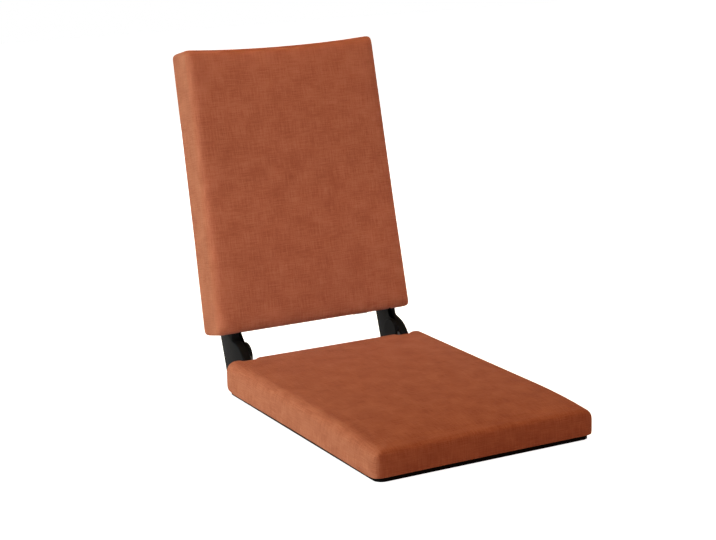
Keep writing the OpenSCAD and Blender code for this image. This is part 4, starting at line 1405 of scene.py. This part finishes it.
class FLOORCHAIR_OT_stage(bpy.types.Operator):
    """Set up the floor, the studio light and the camera"""

    bl_idname = "floorchair.stage"
    bl_label = "Stage"

    def execute(self, context):
        look = settings("stage")
        scene = context.scene
        self.floor(look)
        for name, place, target, size, colour in LIGHTS:
            lamp = area_light(name, place, target, size, getattr(look, name), colour)
            if name.startswith("back"):
                lamp.data.spread = BACK_BEAM
        self.sky(look, scene)
        self.camera(scene)
        scene.view_settings.view_transform = "Standard"
        return {"FINISHED"}

    def floor(self, look):
        half = FLOOR_HALF
        corners = [(-half, -half, 0), (half, -half, 0), (half, half, 0), (-half, half, 0)]
        floor = new_object("floor", mesh_from("floor", corners, [(0, 1, 2, 3)]))
        floor.location.z = -FLOOR_DROP
        paint = Paint("studio_floor", roughness=0.85)
        paint.colour(look.floor)
        tree = paint.tree
        glow = tree.nodes.new("ShaderNodeEmission")
        glow.inputs["Color"].default_value = WHITE
        paint.feed(glow.inputs["Strength"], Wire(paint, plain_rays(tree)) * FLOOR_GLOW)
        total = tree.nodes.new("ShaderNodeAddShader")
        output = next(node for node in tree.nodes if node.type == "OUTPUT_MATERIAL")
        tree.links.new(paint.shader.outputs[0], total.inputs[0])
        tree.links.new(glow.outputs[0], total.inputs[1])
        tree.links.new(total.outputs[0], output.inputs["Surface"])
        floor.data.materials.append(paint.material)

    def sky(self, look, scene):
        world = bpy.data.worlds.new("studio")
        scene.world = world
        world.use_nodes = True
        tree = world.node_tree
        tree.nodes.clear()
        output = tree.nodes.new("ShaderNodeOutputWorld")
        soft = tree.nodes.new("ShaderNodeBackground")
        soft.inputs["Color"].default_value = SKY_TINT
        soft.inputs["Strength"].default_value = look.ambient
        white = tree.nodes.new("ShaderNodeBackground")
        white.inputs["Color"].default_value = WHITE
        white.inputs["Strength"].default_value = 1.0
        mix = tree.nodes.new("ShaderNodeMixShader")
        tree.links.new(plain_rays(tree), mix.inputs[0])
        tree.links.new(soft.outputs[0], mix.inputs[1])
        tree.links.new(white.outputs[0], mix.inputs[2])
        tree.links.new(mix.outputs[0], output.inputs["Surface"])

    def camera(self, scene):
        yaw, pitch, roll = CAMERA_TURN
        data = bpy.data.cameras.new("photo_view")
        data.sensor_width = CAMERA_SENSOR
        data.lens = CAMERA_LENS
        data.clip_end = 50.0
        camera = bpy.data.objects.new("photo_view", data)
        turn = (
            Matrix.Rotation(-yaw, 4, "Z")
            @ Matrix.Rotation(math.pi / 2 - pitch, 4, "X")
            @ Matrix.Rotation(-roll, 4, "Z")
        )
        camera.matrix_world = Matrix.Translation(CAMERA_PLACE) @ turn
        scene.collection.objects.link(camera)
        scene.camera = camera


OPERATORS = [
    FLOORCHAIR_OT_seat_cushion,
    FLOORCHAIR_OT_back_cushion,
    FLOORCHAIR_OT_base,
    FLOORCHAIR_OT_arm_shells,
    FLOORCHAIR_OT_zip,
    FLOORCHAIR_OT_grip_sheet,
    FLOORCHAIR_OT_hard_finishes,
    FLOORCHAIR_OT_stage,
]


class FLOORCHAIR_PT_panel(bpy.types.Panel):
    """Lists the chair's sizes, colours and makers"""

    bl_idname = "FLOORCHAIR_PT_panel"
    bl_label = "Folding floor chair"
    bl_space_type = "VIEW_3D"
    bl_region_type = "UI"
    bl_category = "Floor chair"

    def draw(self, context):
        for operator in OPERATORS:
            self.layout.operator(operator.bl_idname)
        for name, group in SETTINGS.items():
            box = self.layout.box()
            box.label(text=name.title())
            for key in group.__annotations__:
                box.prop(settings(name), key)


def register():
    for group in [*SETTINGS.values(), *OPERATORS, FLOORCHAIR_PT_panel]:
        bpy.utils.register_class(group)
    for name, group in SETTINGS.items():
        setattr(bpy.types.Scene, "floorchair_" + name, PointerProperty(type=group))


def unregister():
    for name in SETTINGS:
        delattr(bpy.types.Scene, "floorchair_" + name)
    for group in reversed([*SETTINGS.values(), *OPERATORS, FLOORCHAIR_PT_panel]):
        bpy.utils.unregister_class(group)


def main():
    register()
    for operator in OPERATORS:
        group, name = operator.bl_idname.split(".")
        getattr(getattr(bpy.ops, group), name)()


if __name__ == "__main__":
    main()
